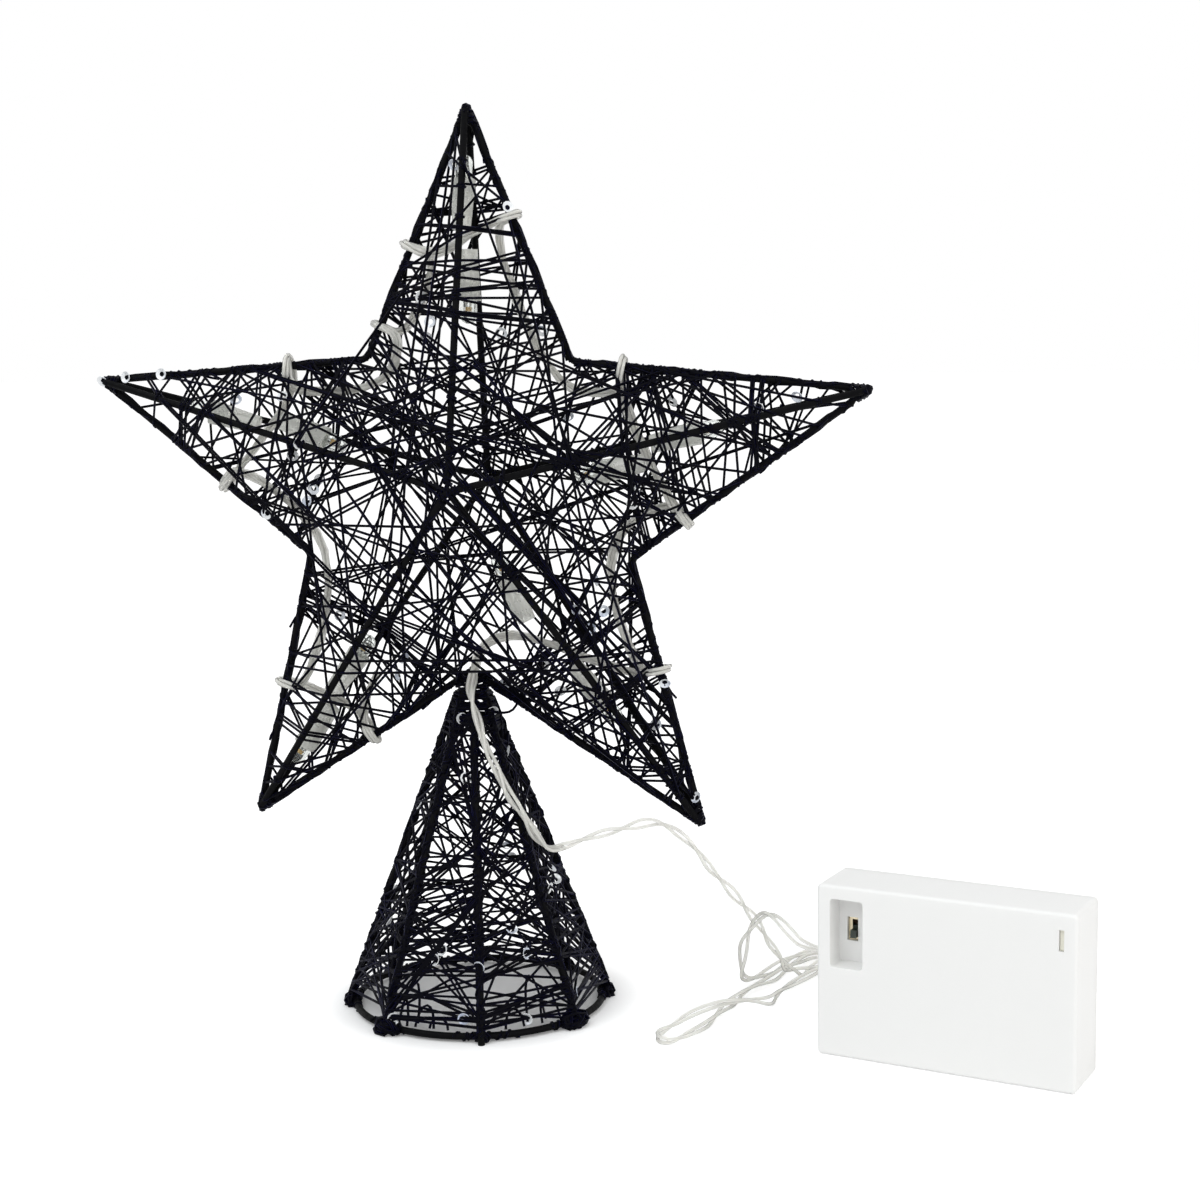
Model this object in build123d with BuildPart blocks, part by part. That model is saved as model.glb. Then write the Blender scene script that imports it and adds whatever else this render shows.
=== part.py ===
"""Lighted star for the top of a Christmas tree.

A bent wire star stands on a wire cone that slips over the tip of the tree. Both are wound with
black thread. A string of lights is laced through the star, and its clear lead runs to a battery box.
Millimetres, +Z up. The star faces -Y and the origin is the middle of the cone's mouth.
"""

import os
from math import cos, radians, sin, sqrt, tan

from build123d import *

# Frame wire, and the gap left at each weld
WIRE = 2.0
WELD = 0.05

# Star: reach and bearing of the hand-bent arms, clockwise from the top one, seen from the front
ARM_REACH = (111.0, 118.8, 115.2, 113.2, 114.2)
ARM_BEARING = (89.0, 15.0, -54.6, -125.4, -198.0)
NOTCH_RADIUS = 49.8
APEX_DEPTH = 27.3
APEX_RISE = 4.6
TIP_BEND = 2.6
NOTCH_BEND = 4.0
APEX_BEND = 4.0

# Cone: ribs outside a base ring and a neck ring, the front and back ribs reach up to the star
NECK_HEIGHT = 99.5
FOOT_RADIUS = 39.2
RIB_COUNT = 8
RIB_TURN = 12.5
RING_LIFT = 0.6
NECK_RING_DROP = 14.0
SHORT_RIB_DROP = 6.0

# Thread nets and the binding round the neck
THREAD = 0.9
THREAD_DEPTH = 0.5
NET_GAP = 0.55
STAR_THREADS = 6
CONE_THREADS = 9
CHORD_LEAST = 0.3
CHORD_SPREAD = 0.35
GOLDEN = 0.618034
ARM_SEED = 0.137
NOTCH_SEED = 0.291
SIDE_SEED = 0.173
CONE_SEED = 0.359
CONE_SEED_START = 0.11
SPAN_SEED = 7
CONE_NET_TOP_DROP = 18.0
BINDING_THREAD = 0.8
BINDING_PITCH = 1.35
BINDING_TURNS = 6
BINDING_DROP = 7.8
BINDING_GAP = 0.15

# Sequins caught on the thread
SEQUIN = 3.0
SEQUIN_THICKNESS = 0.3
SEQUIN_GAP = 0.05
STAR_SEQUINS = 1
CONE_SEQUINS = 2

# Lights: a lens in a clear moulded sleeve, with a chip cup inside
LENS_DIAMETER = 4.9
LENS_REACH = 6.5
LENS_SEAT = 5.0
SLEEVE_LENGTH = 14.5
SLEEVE_TAIL = 5.2
SLEEVE_MOUTH = 7.2
CHIP_CUP = 1.8
CHIP_HEIGHT = 1.2
LIGHT_FIT = 0.1
OUTWARD_SHARE = 0.5
INWARD_SHARE = 0.35

# String of lights: hooked over the outline at these shares of the way from tip to notch
BUNDLE = 2.6
HOOK_GAP = 0.35
HOOK_INSIDE = 8.0
HOOK_SHARE_CLOCKWISE = {0: 0.425, 1: 0.765, 3: 0.496, 4: 0.706}
HOOK_SHARE_COUNTER = {0: 0.55, 1: 0.827, 2: 0.584, 3: 0.54, 4: 0.59}
HOOK_SHARE_EXTRA = 0.865
NOTCH_PASS = 10.0
STRING_TAIL = 14.0

# Free lead: points of the bundle down the cone, with their heights from the neck, of the arch to the
# hank and of the loop to the box
CORD = 2.6
ENTRY_FRONT = (1.6, -7.4, 0.3)
ENTRY_INSIDE = (3.0, -1.4, 16.5)
BUNDLE_POINTS = (
    (1.2, -9.1, -4.3),
    (2.7, -10.6, -11.2),
    (5.2, -12.2, -18.2),
    (8.3, -13.0, -25.5),
    (11.9, -13.2, -32.5),
    (16.1, -12.7, -39.7),
    (19.8, -11.6, -46.1),
    (22.8, -9.9, -50.9),
    (27.9, -8.15, -49.4),
)
ARCH_POINTS = (
    (33.0, -6.4, 51.6),
    (39.5, -5.6, 53.0),
    (46.5, -3.8, 55.2),
    (53.3, -2.0, 56.2),
    (60.2, 0.0, 53.0),
    (66.2, 2.0, 45.4),
    (71.6, 5.0, 37.0),
    (77.8, 8.3, 29.0),
    (82.6, 13.0, 20.5),
    (86.3, 18.0, 12.5),
    (89.6, 23.6, 5.4),
)
LOOP_POINTS = (
    (76.7, 17.2, 4.2),
    (76.6, 12.3, 9.6),
    (77.7, 7.0, 15.9),
    (79.6, 1.7, 22.9),
    (82.7, -4.0, 28.8),
    (86.2, -9.5, 32.1),
    (89.7, -14.5, 32.3),
    (93.1, -19.0, 30.0),
)
HANK_FOLD = (60.5, -29.5)
HANK_BEARING = 63.9
HANK_LENGTH = 86.0
HANK_FOLD_RADIUS = 3.1
HANK_STEP = 3.2
HANK_RUNS = 4
HANK_START = 74.0
HANK_FINISH = 60.0
HANK_LEAD_IN = 6.0
BEND_SHARE = 0.45

# Battery box: standing on its long narrow side, turned a little towards the star
BOX_PLACE = (101.6, -34.5)
BOX_TURN = 19.5
BOX_CORNER = 1.4
BOX_EDGE = 1.0
WALL = 1.5
COVER = 2.0
COVER_GAP = 0.05
COVER_LIP = 1.4
COVER_LIP_WALL = 1.0
COVER_FIT = 0.2
COVER_ROOM = 0.55

# Switch pocket in the front face, with the slide switch behind its floor
POCKET_LEFT = 3.8
POCKET_DROP = 3.8
POCKET_WIDTH = 9.5
POCKET_HEIGHT = 19.0
POCKET_DEPTH = 7.0
POCKET_WALL = 1.0
SLOT_LEFT = 3.95
SLOT_DROP = 9.8
SLOT_WIDTH = 3.1
SLOT_HEIGHT = 6.6
SWITCH_WIDTH = 4.4
SWITCH_HEIGHT = 11.0
SWITCH_DEPTH = 3.6
SWITCH_SHEET = 0.4
SWITCH_BASE = 1.0
SWITCH_PIN = 2.2
SWITCH_FIT = 0.15
SWITCH_RAIL = 0.9
SWITCH_SHIFT = 0.5
KNOB_WIDTH = 1.6
KNOB_HEIGHT = 2.2
KNOB_PROUD = 1.1
KNOB_FOOT_WIDTH = 2.8
KNOB_FOOT_HEIGHT = 3.6
KNOB_FOOT_DEPTH = 1.5
KNOB_TRAVEL = 2.4

# Latch: an arm on the cover that ends in a slot through the front face
LATCH_RIGHT = 4.3
LATCH_DROP = 7.3
LATCH_SLOT_WIDTH = 1.4
LATCH_SLOT_HEIGHT = 5.7
LATCH_FIT = 0.15

# Cells, their cradle and their contacts
CELLS = 3
CELL_DIAMETER = 14.2
CELL_LENGTH = 49.8
CELL_CAP = 5.3
CELL_CAP_HEIGHT = 1.2
CELL_FIT = 0.6
CELL_LIFT = 0.3
CRADLE = 1.2
CRADLE_SHARES = (0.3, 0.7)
CRADLE_HEIGHT = 4.0
CONTACT = 0.4
CONTACT_WIDTH = 9.0
CONTACT_HEIGHT = 8.0
CONTACT_GAP = 0.05
LEAF_RISE = 1.5
LEAF_SPAN = 6.0
LEAF_FIT = 0.25
BACKSTOP = 2.0

# Cord hole in the side of the box, and the thin wires inside
CORD_DROP = 8.4
CORD_HOLE_FIT = 0.3
CORD_INSIDE = 3.5
CORE_WIRE = 1.2
CORE_GAP = 0.3
CORE_NOTCH = 3.0
CORE_NOTCH_DEPTH = 5.0

# What follows from the driving dimensions
ARM_NAMES = ("top", "right", "lower_right", "lower_left", "left")
ARMS = len(ARM_NAMES)
star_height = NECK_HEIGHT + NOTCH_RADIUS
apex_height = star_height + APEX_RISE
lap = WIRE + WELD
clasp_radius = lap / cos(radians(RIB_TURN))
rib_slope = (FOOT_RADIUS - clasp_radius) / NECK_HEIGHT
rib_lean = sqrt(1 + rib_slope**2)
ring_height = RING_LIFT + WIRE / 2


def star_point(reach, bearing, y=0.0):
    """A point of the star's middle plane, or in front of it or behind it by y."""
    return Vector(reach * cos(radians(bearing)), y, star_height + reach * sin(radians(bearing)))


def rib_radius(z):
    """Distance of the middle of a rib from the cone's axis at a height."""
    return clasp_radius + (NECK_HEIGHT - z) * rib_slope


def rib_point(bearing, z):
    """The middle of the rib at a bearing round the cone, at a height."""
    return Vector(rib_radius(z) * cos(radians(bearing)), rib_radius(z) * sin(radians(bearing)), z)


def save(part, name):
    """Labels a finished piece and writes it under its name."""
    part.label = name
    export_step(part, f"parts/{name}.step")


def corner_radii(points):
    """The largest even bend at each corner of a route: a share of the shorter run beside it."""
    radii = []
    for before, corner, after in zip(points, points[1:], points[2:]):
        into = Vector(corner) - Vector(before)
        out = Vector(after) - Vector(corner)
        turn = radians(into.get_angle(out))
        radii.append(BEND_SHARE * min(into.length, out.length) / tan(turn / 2))
    return radii


def bent_tube(points, diameter, radii):
    """A round wire or tube along straight runs with a bend at each corner."""
    with BuildPart() as tube:
        with BuildLine() as path:
            if radii:
                FilletPolyline(*points, radius=radii)
            else:
                Line(*points)
        with BuildSketch(Plane(origin=path.line @ 0, z_dir=path.line % 0)):
            Circle(diameter / 2)
        sweep()
    return tube.part


def least_gap(path, diameter, samples=360):
    """The least clear distance between two stretches of a wound tube, measured on points."""
    places = [path.position_at(i / samples) for i in range(samples + 1)]
    apart = int(3 * diameter / path.length * samples) + 1
    gaps = []
    for i, place in enumerate(places):
        gaps += [(place - other).length for other in places[i + apart :]]
    return min(gaps) - diameter


def halving_point(start, way_out, end, way_in):
    """Where the two arcs of a biarc meet, for a start and an end with their directions."""
    span = end - start
    both = way_out + way_in
    spread = 2 * (1 - way_out.dot(way_in))
    reach = span.dot(both)
    arm = (-reach + sqrt(reach**2 + spread * span.dot(span))) / spread
    return (start + end + (way_out - way_in) * arm) * 0.5


os.makedirs("parts", exist_ok=True)

# Corners of the star
tips = [star_point(reach, bearing) for reach, bearing in zip(ARM_REACH, ARM_BEARING)]
next_bearing = ARM_BEARING[1:] + (ARM_BEARING[0] - 360,)
notch_bearing = [(here + after) / 2 for here, after in zip(ARM_BEARING, next_bearing)]
notches = [star_point(NOTCH_RADIUS, bearing) for bearing in notch_bearing]

# Outline of the star, one wire bent round five tips and five notches
outline_corners = [corner for pair in zip(tips, notches) for corner in pair]
with BuildPart() as outline_wire:
    with BuildLine() as outline_path:
        FilletPolyline(*outline_corners, radius=[TIP_BEND, NOTCH_BEND] * ARMS, close=True)
    with BuildSketch(Plane(origin=outline_path.line @ 0, z_dir=outline_path.line % 0)):
        Circle(WIRE / 2)
    sweep()
save(outline_wire.part, "star_outline_wire")

# Ridge wires, front and back: two bent right across the star, and a straight one up to the top tip
for side_name, side in (("front", -1), ("back", 1)):
    ridge_ends = []
    for reach, bearing in zip(ARM_REACH, ARM_BEARING):
        ridge_ends.append(star_point(reach - WIRE / 2, bearing, side * lap))
    top_end, right_end, lower_right_end, lower_left_end, left_end = ridge_ends
    apex = Vector(0, side * APEX_DEPTH, apex_height)
    half_lap = Vector(0, side * lap / 2, 0)
    left_cross = bent_tube((left_end, apex - half_lap, lower_right_end), WIRE, [APEX_BEND])
    save(left_cross, f"{side_name}_left_cross_wire")
    right_cross = bent_tube((right_end, apex + half_lap, lower_left_end), WIRE, [APEX_BEND])
    save(right_cross, f"{side_name}_right_cross_wire")
    stop_short = lap / sin(radians(ARM_BEARING[0] - ARM_BEARING[1]))
    top_foot = apex + (top_end - apex).normalized() * stop_short
    save(bent_tube((top_end, top_foot), WIRE, []), f"{side_name}_top_wire")

# Cone: two rings and the ribs welded round them, cut flat where they stand
neck_ring_height = NECK_HEIGHT - NECK_RING_DROP
for name, height in (("cone_base_ring", ring_height), ("cone_neck_ring", neck_ring_height)):
    with BuildPart() as ring:
        with Locations((0, 0, height)):
            Torus(rib_radius(height) - lap * rib_lean, WIRE / 2)
    save(ring.part, name)

rib_bearings = [RIB_TURN - 90 + 360 * i / RIB_COUNT for i in range(RIB_COUNT)]
long_bearings = rib_bearings[:: RIB_COUNT // 2]
short_bearings = [bearing for bearing in rib_bearings if bearing not in long_bearings]
rib_tops = (
    ("cone_long_ribs", long_bearings, NECK_HEIGHT + WIRE / 4),
    ("cone_short_ribs", short_bearings, NECK_HEIGHT - SHORT_RIB_DROP),
)
for name, bearings, top in rib_tops:
    with BuildPart() as ribs:
        for bearing in bearings:
            foot = rib_point(bearing, -WIRE)
            head = rib_point(bearing, top)
            with BuildSketch(Plane(origin=foot, z_dir=head - foot)):
                Circle(WIRE / 2)
            extrude(amount=(head - foot).length)
        split(bisect_by=Plane.XY)
    save(ribs.part, name)

# Thread wound close round the neck, over the ribs, as one conical coil of biarcs
binding_low = NECK_HEIGHT - BINDING_DROP - BINDING_PITCH * BINDING_TURNS
binding_out = WIRE / 2 * rib_lean + BINDING_GAP + BINDING_THREAD / 2 * rib_lean


def binding_point(quarter):
    """The middle of the binding thread after a number of quarter turns."""
    z = binding_low + BINDING_PITCH * quarter / 4
    radius = rib_radius(z) + binding_out
    turn = radians(90 * quarter)
    return Vector(radius * cos(turn), radius * sin(turn), z)


def binding_way(quarter):
    """The direction of the binding thread after a number of quarter turns."""
    step = 0.001
    return (binding_point(quarter + step) - binding_point(quarter - step)).normalized()


with BuildPart() as binding:
    with BuildLine() as binding_path:
        for quarter in range(4 * BINDING_TURNS):
            here, there = binding_point(quarter), binding_point(quarter + 1)
            way_out, way_in = binding_way(quarter), binding_way(quarter + 1)
            middle = halving_point(here, way_out, there, way_in)
            first_arc = TangentArc(here, middle, tangent=way_out)
            TangentArc(middle, there, tangent=first_arc % 1)
    with BuildSketch(Plane(origin=binding_path.line @ 0, z_dir=binding_path.line % 0)):
        RegularPolygon(BINDING_THREAD / 2, 4)
    sweep()
save(binding.part, "neck_binding")
print("neck binding, least gap to itself", round(least_gap(binding_path.wire(), BINDING_THREAD), 2))

# String of lights: where it hooks over the outline
hook_out = WIRE / 2 + BUNDLE / 2 + HOOK_GAP


def edge_place(arm, notch, share):
    """A place on the outline between a tip and a notch, with the way into the arm from there."""
    along = (notches[notch] - tips[arm]).normalized()
    place = tips[arm] + (notches[notch] - tips[arm]) * share
    inward = Vector(along.Z, 0, -along.X)
    middle = star_point(0, 0)
    if inward.dot(middle - place) < 0:
        inward = inward * -1
    return place, inward


def hook(place, inward, enter):
    """Four corners of a turn round the outline, entering in front (-1) or behind (1)."""
    near = Vector(0, enter * hook_out, 0)
    inside = place + inward * HOOK_INSIDE
    outside = place - inward * hook_out
    return [inside + near, outside + near, outside - near, inside - near]


clockwise_hooks = {}
for arm, share in HOOK_SHARE_CLOCKWISE.items():
    clockwise_hooks[arm] = edge_place(arm, arm, share)
counter_hooks = {}
for arm, share in HOOK_SHARE_COUNTER.items():
    counter_hooks[arm] = edge_place(arm, arm - 1, share)
extra_hook = edge_place(0, ARMS - 1, HOOK_SHARE_EXTRA)


def notch_pass(notch, side):
    """The point where the string passes inside a notch on its way to the next arm."""
    return star_point(NOTCH_RADIUS - NOTCH_PASS, notch_bearing[notch], side * hook_out)


def arm_hooks(first, second, enter):
    """The two hooks of an arm, with the run across the arm between them."""
    return hook(*first, enter) + hook(*second, -enter)


right_arm = arm_hooks(clockwise_hooks[1], counter_hooks[1], 1)
top_arm = arm_hooks(clockwise_hooks[0], counter_hooks[0], 1)
left_arm = arm_hooks(clockwise_hooks[4], counter_hooks[4], -1)
lower_left_arm = arm_hooks(clockwise_hooks[3], counter_hooks[3], -1)
lower_right_hook = hook(*counter_hooks[2], -1)
tail_way = (star_point(0, 0, -hook_out) - lower_left_arm[-1]).normalized()
string_end = lower_left_arm[-1] + tail_way * STRING_TAIL
neck = Vector(0, 0, NECK_HEIGHT)
entry_front = neck + Vector(ENTRY_FRONT)
entry_inside = neck + Vector(ENTRY_INSIDE)
string_points = [entry_front, entry_inside]
string_points += lower_right_hook + [notch_pass(1, 1)] + right_arm + [notch_pass(0, 1)]
string_points += top_arm + hook(*extra_hook, 1) + [notch_pass(4, -1)]
string_points += left_arm + [notch_pass(3, -1)] + lower_left_arm + [string_end]
save(bent_tube(string_points, BUNDLE, corner_radii(string_points)), "light_string")

# Lights: two on each arm, standing on the run across it, one towards the tip and one to the middle
cross_runs = (
    (top_arm[3], top_arm[4]),
    (right_arm[3], right_arm[4]),
    (entry_inside, lower_right_hook[0]),
    (lower_left_arm[3], lower_left_arm[4]),
    (left_arm[3], left_arm[4]),
)
light_planes = []
for arm, (run_start, run_end) in enumerate(cross_runs):
    for goal, share in ((tips[arm], OUTWARD_SHARE), (star_point(0, 0), INWARD_SHARE)):
        stand = run_start + (run_end - run_start) * share
        stand = Vector(stand.X, 0, stand.Z)
        way = (goal - stand).normalized()
        run_way = Vector((run_end - run_start).X, 0, (run_end - run_start).Z).normalized()
        slant = abs(way.dot(run_way))
        clear = (BUNDLE / 2 + LIGHT_FIT + SLEEVE_TAIL / 2 * slant) / sqrt(1 - slant**2)
        light_planes.append(Plane(origin=stand + way * clear, z_dir=way, x_dir=(0, 1, 0)))

lens_radius = LENS_DIAMETER / 2
lens_start = SLEEVE_LENGTH - LENS_SEAT
lens_end = SLEEVE_LENGTH + LENS_REACH
chip_start = SLEEVE_LENGTH + LENS_REACH / 4
with BuildPart() as sleeves:
    for plane in light_planes:
        with BuildSketch(plane):
            Circle(SLEEVE_TAIL / 2)
        with BuildSketch(plane.offset(SLEEVE_LENGTH)):
            Circle(SLEEVE_MOUTH / 2)
        loft()
        with BuildSketch(plane.offset(lens_start - LIGHT_FIT)):
            Circle(lens_radius + LIGHT_FIT)
        extrude(amount=LENS_SEAT + 2 * LIGHT_FIT, mode=Mode.SUBTRACT)
save(sleeves.part, "light_sleeves")

with BuildPart() as lenses:
    for plane in light_planes:
        profile_plane = Plane(origin=plane.origin, x_dir=plane.x_dir, z_dir=plane.y_dir * -1)
        with BuildSketch(profile_plane):
            with BuildLine():
                Polyline((0, lens_start), (lens_radius, lens_start), (lens_radius, lens_end - lens_radius))
                RadiusArc((lens_radius, lens_end - lens_radius), (0, lens_end), -lens_radius)
                Line((0, lens_end), (0, lens_start))
            make_face()
        revolve(axis=Axis(plane.origin, plane.z_dir))
        with BuildSketch(plane.offset(chip_start)):
            Circle(CHIP_CUP / 2 + LIGHT_FIT)
        extrude(amount=CHIP_HEIGHT + 2 * LIGHT_FIT, mode=Mode.SUBTRACT)
save(lenses.part, "light_lenses")

with BuildPart() as chips:
    for plane in light_planes:
        with BuildSketch(plane.offset(chip_start + LIGHT_FIT)):
            Circle(CHIP_CUP / 2)
        extrude(amount=CHIP_HEIGHT)
save(chips.part, "light_chips")

# Thread nets: chords across each flat facet, inside a border laid along the wires


def inset_polygon(corners, distance):
    """A convex flat outline moved inwards by a distance, corners in order."""
    count = len(corners)
    middle = sum(corners, Vector()) * (1 / count)
    lines = []
    for here, there in zip(corners, corners[1:] + corners[:1]):
        along = (there - here).normalized()
        inward = Vector(-along.Y, along.X)
        if inward.dot(middle - here) < 0:
            inward = inward * -1
        lines.append((here + inward * distance, along))
    moved = []
    for (here, along), (other, across) in zip(lines[-1:] + lines[:-1], lines):
        turn = along.X * across.Y - along.Y * across.X
        gap = other - here
        moved.append(here + along * ((gap.X * across.Y - gap.Y * across.X) / turn))
    return moved


def border_place(corners, share):
    """A place on a flat outline, at a share of the way round it."""
    sides = [(there - here) for here, there in zip(corners, corners[1:] + corners[:1])]
    left = (share % 1) * sum(side.length for side in sides)
    for here, side in zip(corners, sides):
        if left <= side.length:
            return here + side * (left / side.length)
        left -= side.length
    return corners[0]


def chord_ends(corners, count, seed):
    """Ends of the threads across a facet, spread evenly but without a pattern."""
    ends = []
    for i in range(count):
        start = seed + i * GOLDEN
        span = CHORD_LEAST + CHORD_SPREAD * ((seed * SPAN_SEED + i * GOLDEN * GOLDEN) % 1)
        ends.append((border_place(corners, start), border_place(corners, start + span)))
    return ends


def facet_plane(corners, outward):
    """The plane of a flat facet, with its normal towards the outside."""
    normal = (corners[1] - corners[0]).cross(corners[2] - corners[0])
    if normal.dot(outward) < 0:
        normal = normal * -1
    return Plane(origin=corners[0], x_dir=corners[1] - corners[0], z_dir=normal)


def facet_threads(corners, outward, count, seed):
    """A facet's plane, its outline clear of the wires and the ends of its threads."""
    plane = facet_plane(corners, outward)
    flat = [plane.to_local_coords(corner) for corner in corners]
    outer = inset_polygon(flat, WIRE / 2 + NET_GAP)
    middle_line = inset_polygon(outer, THREAD / 2)
    return plane, outer, chord_ends(middle_line, count, seed)


def thread_net(corners, outward, count, seed):
    """One flat net on a facet, a single face with a gap wherever the threads leave one."""
    plane, outer, chords = facet_threads(corners, outward, count, seed)
    with BuildPart() as net:
        with BuildSketch(plane):
            Polygon(*outer, align=None)
            Polygon(*inset_polygon(outer, THREAD), align=None, mode=Mode.SUBTRACT)
            for start, end in chords:
                half = Vector(-(end - start).Y, (end - start).X).normalized() * (THREAD / 2)
                Polygon(start + half, end + half, end - half, start - half, align=None)
            Polygon(*outer, align=None, mode=Mode.INTERSECT)
        extrude(amount=THREAD_DEPTH / 2, both=True)
    return net.part


def clearest_middles(outer, chords, count):
    """The middles of the threads that lie furthest from the border of their facet."""
    sides = list(zip(outer, outer[1:] + outer[:1]))

    def room(middle):
        reach = []
        for here, there in sides:
            along = (there - here).normalized()
            reach.append(abs(along.X * (middle - here).Y - along.Y * (middle - here).X))
        return min(reach)

    middles = [(start + end) * 0.5 for start, end in chords]
    return sorted(middles, key=room, reverse=True)[:count]


# The string keeps a clear way open where it passes through the nets
string_way = bent_tube(string_points, BUNDLE + 2 * HOOK_GAP, corner_radii(string_points))

sequin_planes = []
for arm, arm_name in enumerate(ARM_NAMES):
    with BuildPart() as arm_nets:
        for side in (-1, 1):
            apex = Vector(0, side * APEX_DEPTH, apex_height)
            for notch in (arm, arm - 1):
                corners = [tips[arm], notches[notch], apex]
                outward = Vector(0, side, 0)
                seed = ARM_SEED * arm + NOTCH_SEED * (notch + ARMS) + SIDE_SEED * side
                add(thread_net(corners, outward, STAR_THREADS, seed))
                plane, outer, chords = facet_threads(corners, outward, STAR_THREADS, seed)
                for middle in clearest_middles(outer, chords, STAR_SEQUINS):
                    sequin_planes.append(Plane(origin=plane.from_local_coords(middle), z_dir=plane.z_dir))
        add(string_way, mode=Mode.SUBTRACT)
    save(arm_nets.part, f"thread_net_{arm_name}_arm")

cone_net_low = ring_height + WIRE / 2 + NET_GAP
cone_net_top = NECK_HEIGHT - CONE_NET_TOP_DROP
with BuildPart() as cone_nets:
    for i, bearing in enumerate(rib_bearings):
        other = bearing + 360 / RIB_COUNT
        corners = [rib_point(bearing, cone_net_low), rib_point(other, cone_net_low)]
        corners += [rib_point(other, cone_net_top), rib_point(bearing, cone_net_top)]
        outward = Vector(corners[0].X + corners[1].X, corners[0].Y + corners[1].Y, 0)
        seed = CONE_SEED * i + CONE_SEED_START
        add(thread_net(corners, outward, CONE_THREADS, seed))
        plane, outer, chords = facet_threads(corners, outward, CONE_THREADS, seed)
        for middle in clearest_middles(outer, chords, CONE_SEQUINS):
            sequin_planes.append(Plane(origin=plane.from_local_coords(middle), z_dir=plane.z_dir))
save(cone_nets.part, "thread_net_cone")

# Sequins lying on the threads
with BuildPart() as sequins:
    for plane in sequin_planes:
        with BuildSketch(plane.offset(THREAD_DEPTH / 2 + SEQUIN_GAP)):
            Circle(SEQUIN / 2)
        extrude(amount=SEQUIN_THICKNESS)
save(sequins.part, "sequins")

# Battery box: every sketch is drawn on a plane parallel to its front face, at a depth behind it
box_right = Vector(cos(radians(BOX_TURN)), -sin(radians(BOX_TURN)), 0)
box_back = Vector(sin(radians(BOX_TURN)), cos(radians(BOX_TURN)), 0)
box_front = Plane(origin=(*BOX_PLACE, 0), x_dir=box_right, z_dir=box_back * -1)


def box_plane(depth):
    """A plane parallel to the front face of the box: x along it, y up."""
    return box_front.offset(-depth)


def box_point(across, depth, up):
    """A point of the box, from its lower left front corner."""
    return Vector(*BOX_PLACE, 0) + box_right * across + box_back * depth + Vector(0, 0, up)


def box_end(across, depth, up):
    """A plane square to the long side of the box, looking along it: x up, y to the front."""
    return Plane(origin=box_point(across, depth, up), x_dir=(0, 0, 1), z_dir=box_right)


# The box is as large as what it holds: the pocket, the cells between their contacts, and the latch
bay_left = POCKET_LEFT + POCKET_WIDTH + POCKET_WALL
bay_right = bay_left + CELL_LENGTH + LEAF_RISE + LEAF_FIT + 2 * CONTACT + 4 * CONTACT_GAP
box_width = bay_right + LATCH_FIT + LATCH_SLOT_WIDTH / 2 + LATCH_RIGHT
box_height = 2 * WALL + CELLS * CELL_DIAMETER + (CELLS + 1) * CELL_FIT
box_depth = WALL + CELL_LIFT + CELL_DIAMETER + COVER_ROOM + COVER_LIP + COVER_GAP + COVER
case_depth = box_depth - COVER - COVER_GAP
inner_width = box_width - 2 * WALL
inner_height = box_height - 2 * WALL
box_middle = (box_width / 2, box_height / 2)
pocket_low = box_height - POCKET_DROP - POCKET_HEIGHT
pocket_middle = (POCKET_LEFT + POCKET_WIDTH / 2, pocket_low + POCKET_HEIGHT / 2)
slot_middle = (POCKET_LEFT + SLOT_LEFT, box_height - POCKET_DROP - SLOT_DROP)
switch_middle = (slot_middle[0] + SWITCH_SHIFT, slot_middle[1])
latch_middle = (box_width - LATCH_RIGHT, box_height - LATCH_DROP)
cord_height = switch_middle[1] - CORD_DROP
pocket_back = POCKET_DEPTH + POCKET_WALL
cell_depth = WALL + CELL_LIFT + CELL_DIAMETER / 2
cell_step = CELL_DIAMETER + CELL_FIT
cell_heights = [box_height / 2 + cell_step * i for i in (-1, 0, 1)]
wall_depth = WALL + CELL_LIFT + CELL_DIAMETER

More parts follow.
